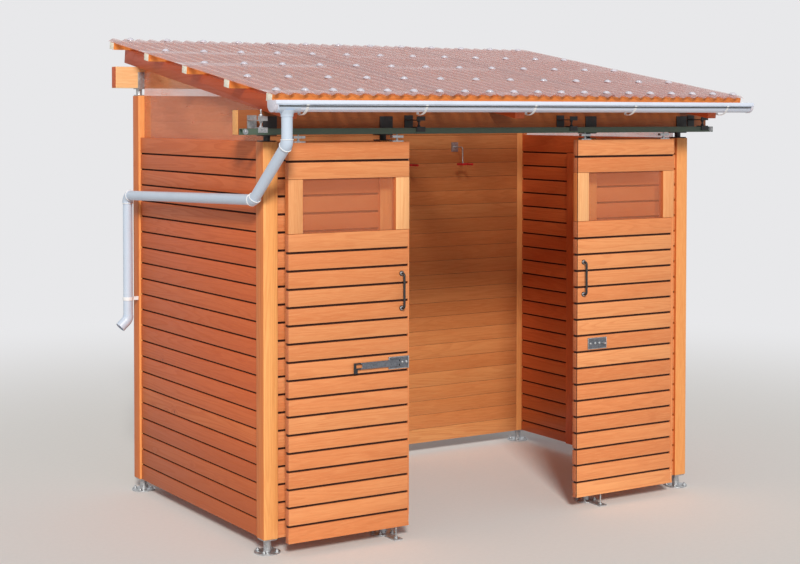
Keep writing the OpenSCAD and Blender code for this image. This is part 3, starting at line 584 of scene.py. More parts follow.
def add_block(bm, low, high, radius=0.0, segments=2, material=0):
    """Adds a box between two corners, with eased edges."""
    part = bmesh.new()
    bmesh.ops.create_cube(part, size=1)
    low, high = Vector(low), Vector(high)
    size = high - low
    bmesh.ops.scale(part, vec=size, verts=part.verts)
    bmesh.ops.translate(part, vec=(low + high) / 2, verts=part.verts)
    if radius:
        ease(part, min(radius, 0.45 * min(size)), segments)
    join(bm, part, material)


def add_rod(bm, start, end, radius, sides, radius_end=None, ease_by=0.0):
    """Adds a round or tapered bar from one point to another."""
    part = bmesh.new()
    start, end = Vector(start), Vector(end)
    line = end - start
    bmesh.ops.create_cone(
        part, cap_ends=True, segments=sides, radius1=radius,
        radius2=radius if radius_end is None else radius_end, depth=line.length,
    )
    if ease_by:
        ease(part, ease_by, 2, 50)
    place = Matrix.Translation((start + end) / 2) @ turned_to(line)
    bmesh.ops.transform(part, matrix=place, verts=part.verts)
    join(bm, part)


def add_dome(bm, centre, axis, radius, height, sides=14):
    """Adds a half ball, flattened to a height, on a centre."""
    part = bmesh.new()
    bmesh.ops.create_uvsphere(part, u_segments=sides, v_segments=8, radius=radius)
    everything = part.verts[:] + part.edges[:] + part.faces[:]
    cut = bmesh.ops.bisect_plane(
        part, geom=everything, plane_co=(0, 0, 0), plane_no=(0, 0, 1), clear_inner=True
    )
    rim = [e for e in cut["geom_cut"] if isinstance(e, bmesh.types.BMEdge)]
    bmesh.ops.contextual_create(part, geom=rim)
    bmesh.ops.scale(part, vec=(1, 1, height / radius), verts=part.verts)
    bmesh.ops.recalc_face_normals(part, faces=part.faces)
    place = Matrix.Translation(centre) @ turned_to(axis)
    bmesh.ops.transform(part, matrix=place, verts=part.verts)
    join(bm, part)


def add_ring(bm, centre, axis, radius, thick):
    """Adds a round ring about a line."""
    part = bmesh.new()
    bmesh.ops.create_circle(part, segments=10, radius=thick)
    bmesh.ops.rotate(part, verts=part.verts, matrix=Matrix.Rotation(math.radians(90), 3, "X"))
    bmesh.ops.translate(part, vec=(radius, 0, 0), verts=part.verts)
    bmesh.ops.spin(
        part, geom=part.verts[:] + part.edges[:], cent=(0, 0, 0), axis=(0, 0, 1),
        angle=2 * math.pi, steps=36, use_merge=True,
    )
    bmesh.ops.recalc_face_normals(part, faces=part.faces)
    place = Matrix.Translation(centre) @ turned_to(axis)
    bmesh.ops.transform(part, matrix=place, verts=part.verts)
    join(bm, part)


def add_bolt(bm, place, axis, across, height, stud=0.0):
    """Adds a hexagon head or nut with its washer, and a stud's end that sticks out."""
    place, axis = Vector(place), Vector(axis).normalized()
    washer, corner, thread = across * 0.98, across * 0.577, across * 0.3
    add_rod(bm, place, place + axis * height * 0.22, washer, 20)
    base = place + axis * height * 0.2
    top = base + axis * height
    add_rod(bm, base, top, corner, 6, ease_by=across * 0.05)
    if stud:
        add_rod(bm, top, top + axis * stud, thread, 12, ease_by=across * 0.06)


def from_node(node):
    """Clean copy of a CAD node: loose triangles merged, and flat faces made whole."""
    bm = bmesh.new()
    bm.from_mesh(frame["nodes"][node].data)
    bmesh.ops.remove_doubles(bm, verts=bm.verts, dist=2e-5)
    bmesh.ops.dissolve_limit(
        bm, angle_limit=math.radians(0.5), verts=bm.verts, edges=bm.edges, use_dissolve_boundaries=False
    )
    return bm


def dress(node, material, radius=0.0, segments=2, angle=30):
    """Piece from one CAD node's own shape, with eased edges and a finish."""
    bm = from_node(node)
    for face in bm.faces:
        face.material_index = 0
    if radius:
        ease(bm, radius, segments, angle)
    body = frame["nodes"][node]["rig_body"]
    finish_mesh(bm, node + "_finished", [material], body, [node])


# How far the dark strip of painted shade in a gap reaches behind the boards above and below it, and stops
# short of their ends
STRIP_TUCK = 0.004
STRIP_INSET = 0.002


def boards(bm, low, high, t, gap, joined=False, stop=0.0, drop=0.0):
    """Fills a box with level boards from the bottom up, and a dark strip of painted shade at the foot of
    each gap.

    A joined stack has a strip over its last board too. The boards end by stop before the box's right
    side, and drop lowers the gaps.
    """
    low, high = Vector(low), Vector(high)
    rows = int(round((high.z - low.z) / t.pitch))
    thin = 1 if high.x - low.x > high.y - low.y else 0
    for row in range(rows):
        last = row == rows - 1
        foot = low.z + row * t.pitch + (t.lift - drop if row else 0)
        head = high.z if last else low.z + (row + 1) * t.pitch - gap + t.lift - drop
        add_block(bm, (low.x, low.y, foot), (high.x - stop, high.y, head), t.edge)
        if not last or joined:
            # Dark strip of painted shade in the gap
            strip_low = Vector((low.x, low.y, head - STRIP_TUCK))
            strip_high = Vector((high.x - stop, high.y, head + gap + STRIP_TUCK))
            strip_low[thin] += t.groove
            strip_high[thin] -= t.groove
            strip_low[1 - thin] += STRIP_INSET
            strip_high[1 - thin] -= STRIP_INSET
            strip_high.z = min(strip_high.z, high.z)
            add_block(bm, strip_low, strip_high, material=1)


def add_grooved_board(bm, low, high, t):
    """Adds the lowest board of a door, with the groove that its guide channel sits in."""
    low, high = Vector(low), Vector(high)
    channel_low, channel_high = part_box("left_door_channel")
    room = 0.0004
    middle = (low.y + high.y) / 2
    half = (channel_high.y - channel_low.y) / 2 + room
    roof = channel_high.z + room
    outline = (
        (low.y, low.z), (middle - half, low.z), (middle - half, roof), (middle + half, roof),
        (middle + half, low.z), (high.y, low.z), (high.y, high.z), (low.y, high.z),
    )
    part = bmesh.new()
    corners = [part.verts.new((low.x, y, z)) for y, z in outline]
    face = bmesh.ops.contextual_create(part, geom=corners)["faces"]
    grown = bmesh.ops.extrude_face_region(part, geom=face)["geom"]
    far = [v for v in grown if isinstance(v, bmesh.types.BMVert)]
    bmesh.ops.translate(part, vec=(high.x - low.x, 0, 0), verts=far)
    bmesh.ops.recalc_face_normals(part, faces=part.faces)
    ease(part, t.edge * 0.8, 2, 50)
    join(bm, part)


class SHELTER_OT_posts(bpy.types.Operator):
    """Posts with eased edges and upright grain"""

    bl_idname = "shelter.posts"
    bl_label = "Posts"

    def execute(self, context):
        edge = context.scene.shelter_timber.edge * 1.6
        for node in (
            "front_left_post", "front_right_post", "rear_left_post",
            "rear_right_post", "left_jamb_post", "right_jamb_post",
        ):
            # The posts' side faces get painted shade
            dress(node, wood("post", "z", None, POST_SIDE_SHADE), edge, 3)
        return {"FINISHED"}


class SHELTER_OT_walls(bpy.types.Operator):
    """Boarded walls and front panels, board by board"""

    bl_idname = "shelter.walls"
    bl_label = "Walls"

    # Thickness of the back wall's smooth inner boards, half the hairline between them and their edges
    SMOOTH_BOARD = 0.012
    HAIRLINE = 0.0007
    SMOOTH_EDGE = 0.0015

    # How dark the foot of a wall gets
    SPLASH = 0.55

    # How far the batten ends over the wall's foot, and sinks into its boards
    BATTEN_UP = 0.002
    BATTEN_SUNK = 0.001

    def execute(self, context):
        t = context.scene.shelter_timber
        for node in ("left_wall", "right_wall"):
            low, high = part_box(node)
            bm = bmesh.new()
            boards(bm, low, high, t, t.wall_gap, drop=t.drop if node == "right_wall" else 0.0)
            materials = [wood("wall", "y", None, None, self.SPLASH), gap_shade_wood()]
            finish_mesh(bm, node + "_boards", materials, "shelter", [node])
        for node in ("left_front_panel", "right_front_panel"):
            low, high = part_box(node)
            bm = bmesh.new()
            boards(bm, low, high, t, t.gap)
            materials = [wood("door", "x", "sawn"), gap_shade_wood()]
            finish_mesh(bm, node + "_boards", materials, "shelter", [node])
        self.batten(t)
        self.back_wall(t)
        return {"FINISHED"}

    def batten(self, t):
        """Upright batten on the right wall's inside, under its top board."""
        low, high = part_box("right_wall")
        rows = int(round((high.z - low.z) / t.pitch))
        head = low.z + (rows - 1) * t.pitch - t.drop
        rear = high.y - t.batten_back
        bm = bmesh.new()
        foot = (low.x - t.batten_t, rear - t.batten_w, low.z + self.BATTEN_UP)
        add_block(bm, foot, (low.x + self.BATTEN_SUNK, rear, head), t.edge)
        finish_mesh(bm, "inside_batten", [wood("wall", "z")], "shelter", ())

    def back_wall(self, t):
        """Smooth boards inside and boards with gaps outside, on a dark core that paints shade into the
        hairlines and gaps.
        """
        low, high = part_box("back_wall")
        rows = int((high.z - low.z) / t.pitch)
        inner = low.y + self.SMOOTH_BOARD
        outer = high.y - t.groove
        bm = bmesh.new()
        for row in range(rows):
            last = row == rows - 1
            foot = low.z + row * t.pitch
            head = high.z if last else foot + t.pitch
            smooth_foot = (low.x, low.y, foot + self.HAIRLINE)
            smooth_head = (high.x, inner, head - self.HAIRLINE)
            add_block(bm, smooth_foot, smooth_head, self.SMOOTH_EDGE)
            gap = 0 if last else t.gap
            add_block(bm, (low.x, outer - STRIP_TUCK, foot), (high.x, high.y, head - gap), t.edge)
        # Dark core of painted shade, seen through the hairlines and gaps
        core_low = low + Vector((STRIP_INSET, STRIP_TUCK, STRIP_INSET))
        core_high = (high.x - STRIP_INSET, outer, high.z - STRIP_INSET)
        add_block(bm, core_low, core_high, material=1)
        materials = [wood("back", "x"), gap_shade_wood()]
        finish_mesh(bm, "back_wall_boards", materials, "shelter", ["back_wall"])


class SHELTER_OT_roof_frame(bpy.types.Operator):
    """Beams, rafters and purlins"""

    bl_idname = "shelter.roof_frame"
    bl_label = "Roof frame"

    def execute(self, context):
        edge = context.scene.shelter_timber.edge
        # The front beam's wood carries painted shade; its ends take the paler post colour
        dress("front_beam", wood("beam", "x", "post"), edge * 1.3, 3)
        dress("rear_beam", wood("rear", "x", "rafter"), edge * 1.3, 3)
        dress("rafters", wood("rafter", "y"), edge)
        dress("eave_purlin", wood("purlin", "x", "end"), edge)
        dress("purlins", wood("purlin", "x", "end"), edge)
        return {"FINISHED"}


def slope_frame(roof):
    """Matrix from the roof's own axes, which start at the left post's front on the rafters' underside."""
    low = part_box("eave_purlin")[0]
    start = at(0, 0, 0)
    lean = Matrix.Rotation(roof.slope, 4, "X")
    corner = lean @ Vector((0, -roof.eave, roof.seat))
    return Matrix.Translation(Vector((start.x, start.y, low.z - corner.z))) @ lean


class SHELTER_OT_roof_sheets(bpy.types.Operator):
    """Clear corrugated sheets with their screw caps, and the clear panes under the verges"""

    bl_idname = "shelter.roof_sheets"
    bl_label = "Roof sheets"

    # Divisions of a sheet across one wave and along its length
    ACROSS = 20
    ALONG = 8

    # How much higher the middle sheet lies than its neighbours
    LAP = 0.0023

    # How deep a screw cap sits, and the heights of its rim and its dome
    CAP_SUNK = 0.0025
    CAP_RIM = 0.003
    CAP_DOME = 0.0072

    # Each row of screws: its place up the slope from the posts' front, its first wave, and its step in waves
    SCREW_ROWS = ((-0.232, 0, 2), (0.224, 1, 3), (0.724, 1, 3), (1.224, 1, 3), (1.724, 1, 3))

    def execute(self, context):
        roof = context.scene.shelter_roof
        lean = slope_frame(roof)
        edge_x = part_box("roof_sheets")[0].x
        left = edge_x - lean.translation.x
        self.sheets(roof, lean, left, edge_x)
        self.screw_caps(roof, lean, left)
        pane = Kit.get("gable_sheet", clear, tuple(roof.glaze), 0.36, (3.0, 3.0, 30.0))
        for node in ("left_gable_pane", "right_gable_pane"):
            dress(node, pane, 0.0004, 1)
        return {"FINISHED"}

    def sheets(self, roof, lean, left, edge_x):
        """Three sheets, of which the middle one laps over both its neighbours."""
        third = round(roof.waves / 3)
        length = roof.sheet_front + roof.sheet_back
        spans = ((0, third + 1, 0.0), (third, 2 * third + 1, self.LAP), (2 * third, roof.waves, 0.0))
        bm = bmesh.new()
        for start, end, lift in spans:
            part = bmesh.new()
            divisions = (end - start) * self.ACROSS
            bmesh.ops.create_grid(part, x_segments=divisions, y_segments=self.ALONG, size=0.5)
            width = (end - start) * roof.wave
            for v in part.verts:
                x = (v.co.x + 0.5) * width
                y = (v.co.y + 0.5) * length - roof.sheet_front
                swell = roof.rise / 2 * (1 - math.cos(2 * math.pi * x / roof.wave))
                v.co = Vector((left + start * roof.wave + x, y, roof.sheet_seat + lift + swell))
            bmesh.ops.solidify(part, geom=part.faces[:], thickness=-roof.skin * 0.9)
            bmesh.ops.recalc_face_normals(part, faces=part.faces)
            join(bm, part)
        bmesh.ops.transform(bm, matrix=lean, verts=bm.verts)
        streaks = (55.0, 2.0, 2.0)
        skin = Kit.get("clear_sheet", clear, tuple(roof.sheet), 0.16, streaks, 1.0, roof.wave, edge_x)
        finish_mesh(
            bm, "roof_sheet_waves", [skin], "shelter", ["roof_sheets"], 60, board=False
        )

    def screw_caps(self, roof, lean, left):
        """Round caps with a domed top on the crests of the waves."""
        top = roof.sheet_seat + roof.rise + roof.skin
        bm = bmesh.new()
        for up, first, step in self.SCREW_ROWS:
            for crest in range(first, roof.waves, step):
                place = Vector((left + (crest + 0.5) * roof.wave, up, top))
                foot = place - Vector((0, 0, self.CAP_SUNK))
                rim = place + Vector((0, 0, self.CAP_RIM))
                add_rod(bm, foot, rim, roof.cap, 16, roof.cap * 0.94, 0.0008)
                add_dome(bm, rim, (0, 0, 1), roof.cap * 0.74, self.CAP_DOME, 12)
        bmesh.ops.transform(bm, matrix=lean, verts=bm.verts)
        finish_mesh(bm, "roof_screw_caps", [cap_plastic()], "shelter", (), 50, board=False)


class SHELTER_OT_gutter(bpy.types.Operator):
    """Gutter with end caps, straps, outlet and a black strip that paints the shadow line under its bead"""

    bl_idname = "shelter.gutter"
    bl_label = "Gutter"

    # How far the painted shadow line lies under the gutter's top, half its height, and its stop at the end
    # caps
    LINE_DOWN = 0.027
    LINE_HALF = 0.0032
    LINE_STOP = 0.016

    # Where the line starts and ends, in from the gutter's front
    LINE_NEAR = 0.0006
    LINE_FAR = 0.004

    def execute(self, context):
        dress("gutter", metal("gutter"), 0.0008, 2, 50)
        dress("gutter_end_caps", cap_plastic(), 0.0012, 2, 50)
        dress("gutter_outlet", metal("pipe"))
        dress("gutter_brackets", metal("strap"), 0.0007, 1, 50)
        low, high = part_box("gutter")
        line = high.z - self.LINE_DOWN
        foot = (low.x + self.LINE_STOP, low.y + self.LINE_NEAR, line - self.LINE_HALF)
        head = (high.x - self.LINE_STOP, low.y + self.LINE_FAR, line + self.LINE_HALF)
        bm = bmesh.new()
        # Black strip: painted shadow under the bead
        add_block(bm, foot, head, 0.0012)
        finish_mesh(bm, "gutter_bead_groove", [metal("black")], "shelter", (), board=False)
        return {"FINISHED"}


class SHELTER_OT_downpipe(bpy.types.Operator):
    """Downpipe with its bends, the rings of its sockets and the clip"""

    bl_idname = "shelter.downpipe"
    bl_label = "Downpipe"

    # Corner points of the pipe's middle line, in millimetres
    CORNERS = ((-40, -319, 2128), (-40, -319, 2001), (-60, -17, 1729), (-60, 1545, 1682), (-60, 1545, 985))

    # Radius of a bend's middle line, and radius and thickness of a socket's ring
    BEND = 0.045
    RING = 0.0298
    RING_THICK = 0.0024

    def execute(self, context):
        for node in ("downpipe", "pipe_elbows", "pipe_tail"):
            dress(node, metal("pipe"))
        dress("pipe_clips", metal("strap"), 0.0008, 1, 50)
        corners = [at(*corner) for corner in self.CORNERS]
        bm = bmesh.new()
        for before, corner, after in zip(corners, corners[1:], corners[2:]):
            come, leave = (corner - before).normalized(), (after - corner).normalized()
            cut = self.BEND * math.tan(come.angle(leave) / 2)
            add_ring(bm, corner - come * cut, come, self.RING, self.RING_THICK)
            add_ring(bm, corner + leave * cut, leave, self.RING, self.RING_THICK)
        finish_mesh(bm, "pipe_socket_rings", [metal("strap")], "shelter", (), 60, board=False)
        return {"FINISHED"}


class SHELTER_OT_rail(bpy.types.Operator):
    """Door rail with its brackets, bolts and the guides on the ground"""

    bl_idname = "shelter.rail"
    bl_label = "Door rail"

    # Reach from the left bracket's outer edge within which the brackets are zinc
    ZINC_END = 0.15

    # Middle of the left bracket and its screws, from its outer edge
    BRACKET_MIDDLE = 0.025
    BRACKET_SCREWS = (0.009, 0.025, 0.041)

    # Height of these screws over the bracket's foot
    BRACKET_SCREW_UP = 0.012

    # From the rail's ends to its stop bolts
    STOP_IN = 0.018

    # Height of the rod over the rail, the rod's own length and its radius
    ROD_UP = 0.058
    ROD_LONG = 0.034
    ROD = 0.0042

    def execute(self, context):
        dress("door_rail", metal("rail"), 0.0018, 3, 50)
        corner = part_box("rail_brackets")[0]
        bm = from_node("rail_brackets")
        ease(bm, 0.0007, 1, 50)
        for face in bm.faces:
            face.material_index = 1 if face.calc_center_median().x < corner.x + self.ZINC_END else 0
        materials = [metal("black"), metal("zinc")]
        finish_mesh(bm, "rail_brackets_finished", materials, "shelter", ["rail_brackets"])

        low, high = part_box("door_rail")
        middle = (low.z + high.z) / 2
        rod = Vector((corner.x + self.BRACKET_MIDDLE, (low.y + high.y) / 2, high.z + self.ROD_UP))
        bm = bmesh.new()
        add_rod(bm, rod, rod + Vector((0, 0, self.ROD_LONG)), self.ROD, 14, ease_by=0.0008)
        add_bolt(bm, rod, (0, 0, 1), across=0.017, height=0.008)
        for along in self.BRACKET_SCREWS:
            place = (corner.x + along, corner.y, corner.z + self.BRACKET_SCREW_UP)
            add_bolt(bm, place, (0, -1, 0), across=0.009, height=0.003)
        for x in (low.x + self.STOP_IN, high.x - self.STOP_IN):
            add_bolt(bm, (x, low.y, middle), (0, -1, 0), across=0.014, height=0.006)
        finish_mesh(bm, "rail_end_stops", [metal("zinc")], "shelter", (), board=False)
        dress("floor_guides", metal("zinc"), 0.0006, 1, 50)
        return {"FINISHED"}


class SHELTER_OT_feet(bpy.types.Operator):
    """Feet and beam shoes with their bolts"""

    bl_idname = "shelter.feet"
    bl_label = "Feet and shoes"

    # Screws of a rear shoe: from its outer edge, and from its top
    SHOE_SCREW_IN = 0.038
    SHOE_SCREWS_DOWN = (0.075, 0.045, 0.015)

    # Middles of the feet, the radius of their bolt circle and its height, in millimetres
    FEET = ((40, 40), (2680, 40), (40, 1570), (2680, 1570), (700, 40), (2020, 40))
    BOLT_CIRCLE = 50
    PLATE_TOP = 6

    def execute(self, context):
        steel = metal("zinc")
        for node in ("corner_feet", "jamb_feet", "beam_shoes"):
            dress(node, steel, 0.0008, 2, 50)
        dress("front_shoes", metal("black"), 0.0008, 2, 50)
        low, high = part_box("beam_shoes")
        bm = bmesh.new()
        for x in (low.x + self.SHOE_SCREW_IN, high.x - self.SHOE_SCREW_IN):
            for down in self.SHOE_SCREWS_DOWN:
                add_bolt(bm, (x, low.y, high.z - down), (0, -1, 0), across=0.010, height=0.004)
        finish_mesh(bm, "shoe_screws", [steel], "shelter", (), board=False)
        bm = bmesh.new()
        for x, y in self.FEET:
            for turn in (45, 135, 225, 315):
                a = math.radians(turn)
                right, back = self.BOLT_CIRCLE * math.cos(a), self.BOLT_CIRCLE * math.sin(a)
                place = at(x + right, y + back, self.PLATE_TOP)
                add_bolt(bm, place, (0, 0, 1), across=0.017, height=0.008, stud=0.007)
        finish_mesh(bm, "foot_anchors", [steel], "shelter", (), board=False)
        return {"FINISHED"}


class SHELTER_OT_doors(bpy.types.Operator):
    """Door leaves board by board, with the upright boards and the pane of the window"""

    bl_idname = "shelter.doors"
    bl_label = "Doors"

    # Set-back of the strip that fills the gaps' ends, and the slit over and under a window stile
    STOP_INSET = 0.0004
    STILE_SLIT = 0.0014

    # Width and depth of the dark strip that paints a shadow line on the right door's left front edge
    SEAL_WIDE = 0.0035
    SEAL_DEEP = 0.002

    def execute(self, context):
        t = context.scene.shelter_timber
        tinted = tuple(context.scene.shelter_roof.tinted)
        pane = Kit.get("window_pane", clear, tinted, 0.26, (6.0, 6.0, 6.0), 0.5)
        for side in ("left", "right"):
            body = side + "_door"
            low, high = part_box(body + "_leaf")
            rows = int(round((high.z - low.z) / t.pitch))
            sill = low.z + (rows - t.rows_over - t.rows_window) * t.pitch
            head = sill + t.rows_window * t.pitch
            self.leaf(t, side, low, high, sill, head)
            bm = bmesh.new()
            for x0, x1 in ((low.x, low.x + t.stile), (high.x - t.stile, high.x)):
                foot = (x0, low.y, sill + self.STILE_SLIT)
                add_block(bm, foot, (x1, high.y, head - self.STILE_SLIT), t.edge)
            # The stiles' side faces get painted shade
            upright = wood("stile_wood", "z", None, POST_SIDE_SHADE)
            finish_mesh(bm, body + "_stiles", [upright], body, ())
            dress(body + "_pane", pane, 0.0004, 1)
            dress(body + "_channel", metal("zinc"), 0.0004, 1, 50)
            dress(body + "_hangers", metal("zinc"), 0.0004, 1, 50)
        return {"FINISHED"}

    def leaf(self, t, side, low, high, sill, head):
        """Level boards under and over the window, with the gaps' right ends filled up to the sill."""
        stop = getattr(t, "stop_" + side)
        stop_x = high.x - stop
        second = low.z + t.pitch
        foot = second - t.gap
        bm = bmesh.new()
        boards(bm, low + Vector((0, 0, t.pitch)), (high.x, high.y, sill), t, t.gap, True, stop)
        boards(bm, (low.x, low.y, head), high, t, t.gap)
        add_grooved_board(bm, low, (stop_x, high.y, foot), t)
        # Dark strip of painted shade in the gap over the lowest board
        strip_low = (low.x + STRIP_INSET, low.y + t.groove, foot - STRIP_TUCK)
        add_block(bm, strip_low, (stop_x, high.y - t.groove, second + STRIP_TUCK), material=1)
        fill_low = (stop_x, low.y + self.STOP_INSET, foot)
        add_block(bm, fill_low, (high.x, high.y - self.STOP_INSET, sill), t.edge, material=2)
        add_grooved_board(bm, (stop_x, low.y, low.z), (high.x, high.y, foot), t)
        if side == "right":
            # Painted shadow line on the right door's left front edge
            shadow_line_low = (low.x - 0.0001, low.y - 0.0002, low.z)
            shadow_line_high = (low.x + self.SEAL_WIDE, low.y + self.SEAL_DEEP, high.z)
            add_block(bm, shadow_line_low, shadow_line_high, 0.0004, 1, 1)
        materials = [wood("door", "x", "sawn"), gap_shade_wood(), wood("door", "z")]
        node = side + "_door_leaf"
        finish_mesh(bm, node + "_boards", materials, side + "_door", [node])


class SHELTER_OT_ironmongery(bpy.types.Operator):
    """Handles, hasp and lock plate with their screws"""

    bl_idname = "shelter.ironmongery"
    bl_label = "Ironmongery"

    # From a handle's end to its screw
    HANDLE_SCREW = 0.013

    # Thickness of the hasp's and the lock's plate on the door, and how far a part stands free of it
    PLATE = 0.003
    FREE = 0.0005

    # Length of the hasp arm's black end
    HASP_END = 0.040

    # Places of the screws along each plate, as shares of its length
    SCREWS = {"left_hasp_plate": (0.68, 0.88), "right_lock_plate": (0.15, 0.40, 0.62)}

    def execute(self, context):
        for side in ("left", "right"):
            self.handle(side)
        self.hasp_arm()
        for node, screws in self.SCREWS.items():
            self.plate(node, screws)
        return {"FINISHED"}

    def handle(self, side):
        """Handle with a round screw head on each of its feet."""
        node = side + "_door_handle"
        dress(node, metal("black"), 0.0005, 1, 60)
        low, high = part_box(node)
        middle = (low.x + high.x) / 2
        bm = bmesh.new()
        for z in (low.z + self.HANDLE_SCREW, high.z - self.HANDLE_SCREW):
            collar = (middle, high.y - 0.0042, z)
            add_rod(bm, collar, (middle, high.y - 0.0075, z), 0.0105, 20, 0.0085, 0.001)
            screw = Vector((middle, high.y - 0.0072, z))
            add_dome(bm, screw, (0, -1, 0), radius=0.0042, height=0.0026)
        body = side + "_door"
        finish_mesh(bm, side + "_handle_screws", [metal("zinc")], body, (), board=False)

    def hasp_arm(self):
        """Dark arm whose end beyond the bend is black."""
        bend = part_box("hasp_arm")[0].x + self.HASP_END
        bm = from_node("hasp_arm")
        ease(bm, 0.0005, 1, 50)
        everything = bm.verts[:] + bm.edges[:] + bm.faces[:]
        bmesh.ops.bisect_plane(bm, geom=everything, plane_co=(bend, 0, 0), plane_no=(1, 0, 0))
        for face in bm.faces:
            face.material_index = 1 if face.calc_center_median().x < bend else 0
        materials = [metal("steel"), metal("black")]
        finish_mesh(bm, "hasp_arm_finished", materials, "hasp", ["hasp_arm"])

    def plate(self, node, screws):
        """Dark plate with screws, zinc beads along its edges that stand for its folded edge and paint its
        highlight and, on the right door, a staple in bright zinc as a painted highlight.
        """
        side = node.split("_")[0]
        body = side + "_door"
        low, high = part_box(node)
        face_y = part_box(body + "_leaf")[0].y - self.PLATE
        bm = from_node(node)
        ease(bm, 0.0005, 1, 50)
        for face in bm.faces:
            # Painted highlight: the right door's staple is bright zinc
            staple = side == "right" and face.calc_center_median().y < face_y - self.FREE
            face.material_index = 1 if staple else 0
        materials = [metal("steel"), metal("zinc")]
        finish_mesh(bm, node + "_finished", materials, body, [node])

        # Zinc beads along the plate's edges: its folded edge, with a painted highlight
        rim, inset, highlight_bead = 0.0022, 0.003, 0.0017
        middle = (low.z + high.z) / 2
        bm = bmesh.new()
        for share in screws:
            place = Vector((low.x + share * (high.x - low.x), face_y + 0.0002, middle))
            add_dome(bm, place, (0, -1, 0), radius=0.0068, height=0.0034)
        for z in (low.z + rim, high.z - rim):
            add_rod(bm, (low.x + inset, face_y, z), (high.x - inset, face_y, z), highlight_bead, 10, ease_by=0.0004)
        for x in (low.x + rim, high.x - rim):
            add_rod(bm, (x, face_y, low.z + inset), (x, face_y, high.z - inset), highlight_bead, 10, ease_by=0.0004)
        finish_mesh(bm, side + "_plate_rim", [metal("zinc")], body, (), board=False)


class SHELTER_OT_hooks(bpy.types.Operator):
    """Bicycle hooks with sleeved prongs"""

    bl_idname = "shelter.hooks"
    bl_label = "Bicycle hooks"

    # Height of the sleeved part over the hooks' lowest point
    SLEEVE = 0.0145

    def execute(self, context):
        sleeve_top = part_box("bike_hooks")[0].z + self.SLEEVE
        bm = from_node("bike_hooks")
        ease(bm, 0.0004, 1, 60)
        for face in bm.faces:
            face.material_index = 1 if face.calc_center_median().z < sleeve_top else 0
        materials = [metal("zinc"), metal("sleeve")]
        finish_mesh(bm, "bike_hooks_finished", materials, "shelter", ["bike_hooks"])
        return {"FINISHED"}


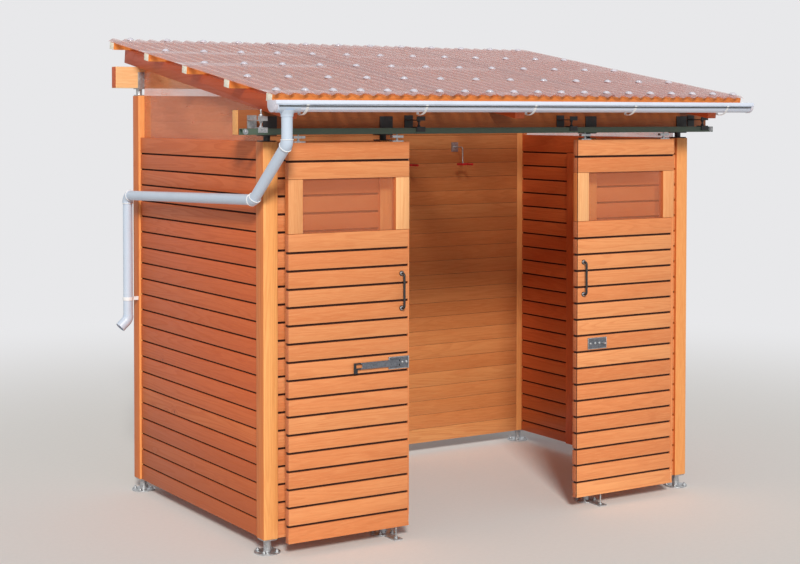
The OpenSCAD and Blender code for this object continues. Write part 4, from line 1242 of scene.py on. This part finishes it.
class SHELTER_OT_stage(bpy.types.Operator):
    """Floor, backdrop, lamps and camera"""

    bl_idname = "shelter.stage"
    bl_label = "Stage"

    # Linear colours of the sky light and the key lamp, and the lamp's direction and softness
    SKY_TINT = (0.86, 0.89, 0.93, 1)
    KEY_TINT = (1.0, 0.96, 0.90)
    KEY_AIM = (0.393, 0.772, -0.5)
    KEY_SOFT = 10

    # Camera's place in millimetres, its turn, dip and roll in degrees, and its upward shift
    CAMERA = (-3502, -6817, 2140)
    TURN = -32.121
    DIP = 1.721
    ROLL = 0.056
    SHIFT = -0.1503

    def execute(self, context):
        s = context.scene.shelter_stage
        self.floor(context.scene, s)
        self.backdrop(context.scene, s)
        self.lamp(context.scene, s)
        self.camera(context.scene, s)
        context.scene.view_settings.view_transform = "Standard"
        return {"FINISHED"}

    def floor(self, scene, s):
        """Pale floor that the camera sees fade into the backdrop."""
        f = coat("floor_paint")
        place = f.place()
        speck = f.noise(place, 40.0, 4.0)
        tone = f.mix(speck.ramp(0.3, 0.7), shade(s.floor, 0.98), shade(s.floor))
        paint = f.node("ShaderNodeBsdfPrincipled", None, {"Base Color": tone, "Roughness": 0.9}, "BSDF")
        glow = f.node("ShaderNodeEmission", None, {"Color": shade(s.back), "Strength": 1.0})
        away = f.node("ShaderNodeVectorMath", {"operation": "LENGTH"}, {0: place}, "Value")
        seen = f.node("ShaderNodeLightPath", out="Is Camera Ray")
        lost = away.ramp(s.near, s.far) * seen
        both = f.node("ShaderNodeMixShader", None, {0: lost, 1: paint, 2: glow})
        f.node("ShaderNodeOutputMaterial", None, {"Surface": both})
        bm = bmesh.new()
        bmesh.ops.create_grid(bm, x_segments=1, y_segments=1, size=60)
        mesh = bpy.data.meshes.new("floor")
        bm.to_mesh(mesh)
        bm.free()
        mesh.materials.append(f.owner)
        floor = bpy.data.objects.new("floor", mesh)
        scene.collection.objects.link(floor)

    def backdrop(self, scene, s):
        """World that lights softly and that camera, glass and metal see as the pale backdrop."""
        w = Finish(bpy.data.worlds.new("studio"))
        rays = w.node("ShaderNodeLightPath", out="Is Camera Ray")
        seen = rays.maths("MAXIMUM", rays.other("Is Transmission Ray"))
        seen = seen.maths("MAXIMUM", rays.other("Is Glossy Ray"))
        plain = w.node("ShaderNodeBackground", None, {"Color": self.SKY_TINT, "Strength": s.sky})
        bright = w.node("ShaderNodeBackground", None, {"Color": shade(s.back), "Strength": 1.0})
        both = w.node("ShaderNodeMixShader", None, {0: seen, 1: plain, 2: bright})
        w.node("ShaderNodeOutputWorld", None, {"Surface": both})
        scene.world = w.owner

    def lamp(self, scene, s):
        """One large soft key lamp."""
        sun = bpy.data.lights.new("key", "SUN")
        sun.energy = s.key
        sun.angle = math.radians(self.KEY_SOFT)
        sun.color = self.KEY_TINT
        key = bpy.data.objects.new("key", sun)
        key.rotation_mode = "QUATERNION"
        key.rotation_quaternion = Vector(self.KEY_AIM).to_track_quat("-Z", "Y")
        scene.collection.objects.link(key)

    def camera(self, scene, s):
        """Camera at the photograph's place."""
        lens = bpy.data.cameras.new("camera")
        lens.lens = s.lens
        lens.sensor_width = 36
        lens.shift_y = self.SHIFT
        lens.clip_end = 200
        camera = bpy.data.objects.new("camera", lens)
        turn = Matrix.Rotation(math.radians(self.TURN), 4, "Z")
        turn = turn @ Matrix.Rotation(math.radians(90 - self.DIP), 4, "X")
        turn = turn @ Matrix.Rotation(math.radians(self.ROLL), 4, "Z")
        camera.matrix_world = Matrix.Translation(at(*self.CAMERA)) @ turn
        scene.collection.objects.link(camera)
        scene.camera = camera


STEPS = (
    SHELTER_OT_posts,
    SHELTER_OT_walls,
    SHELTER_OT_roof_frame,
    SHELTER_OT_roof_sheets,
    SHELTER_OT_gutter,
    SHELTER_OT_downpipe,
    SHELTER_OT_rail,
    SHELTER_OT_feet,
    SHELTER_OT_doors,
    SHELTER_OT_ironmongery,
    SHELTER_OT_hooks,
    SHELTER_OT_stage,
)

GROUPS = {
    ShelterTimber: "shelter_timber",
    ShelterRoof: "shelter_roof",
    ShelterMetal: "shelter_metal",
    ShelterStage: "shelter_stage",
}


class SHELTER_PT_steps(bpy.types.Panel):
    """Lists the steps and their settings in the sidebar"""

    bl_idname = "SHELTER_PT_steps"
    bl_label = "Bicycle shelter"
    bl_space_type = "VIEW_3D"
    bl_region_type = "UI"
    bl_category = "Shelter"

    def draw(self, context):
        for step in STEPS:
            self.layout.operator(step.bl_idname)
        for group, name in GROUPS.items():
            box = self.layout.box()
            settings = getattr(context.scene, name)
            for key in group.__annotations__:
                box.prop(settings, key)


def register():
    for group, name in GROUPS.items():
        bpy.utils.register_class(group)
        setattr(bpy.types.Scene, name, PointerProperty(type=group))
    for step in STEPS:
        bpy.utils.register_class(step)
    bpy.utils.register_class(SHELTER_PT_steps)


def unregister():
    bpy.utils.unregister_class(SHELTER_PT_steps)
    for step in reversed(STEPS):
        bpy.utils.unregister_class(step)
    for group, name in GROUPS.items():
        delattr(bpy.types.Scene, name)
        bpy.utils.unregister_class(group)


def main():
    register()
    bpy.ops.shelter.posts()
    bpy.ops.shelter.walls()
    bpy.ops.shelter.roof_frame()
    bpy.ops.shelter.roof_sheets()
    bpy.ops.shelter.gutter()
    bpy.ops.shelter.downpipe()
    bpy.ops.shelter.rail()
    bpy.ops.shelter.feet()
    bpy.ops.shelter.doors()
    bpy.ops.shelter.ironmongery()
    bpy.ops.shelter.hooks()
    bpy.ops.shelter.stage()


if __name__ == "__main__":
    main()
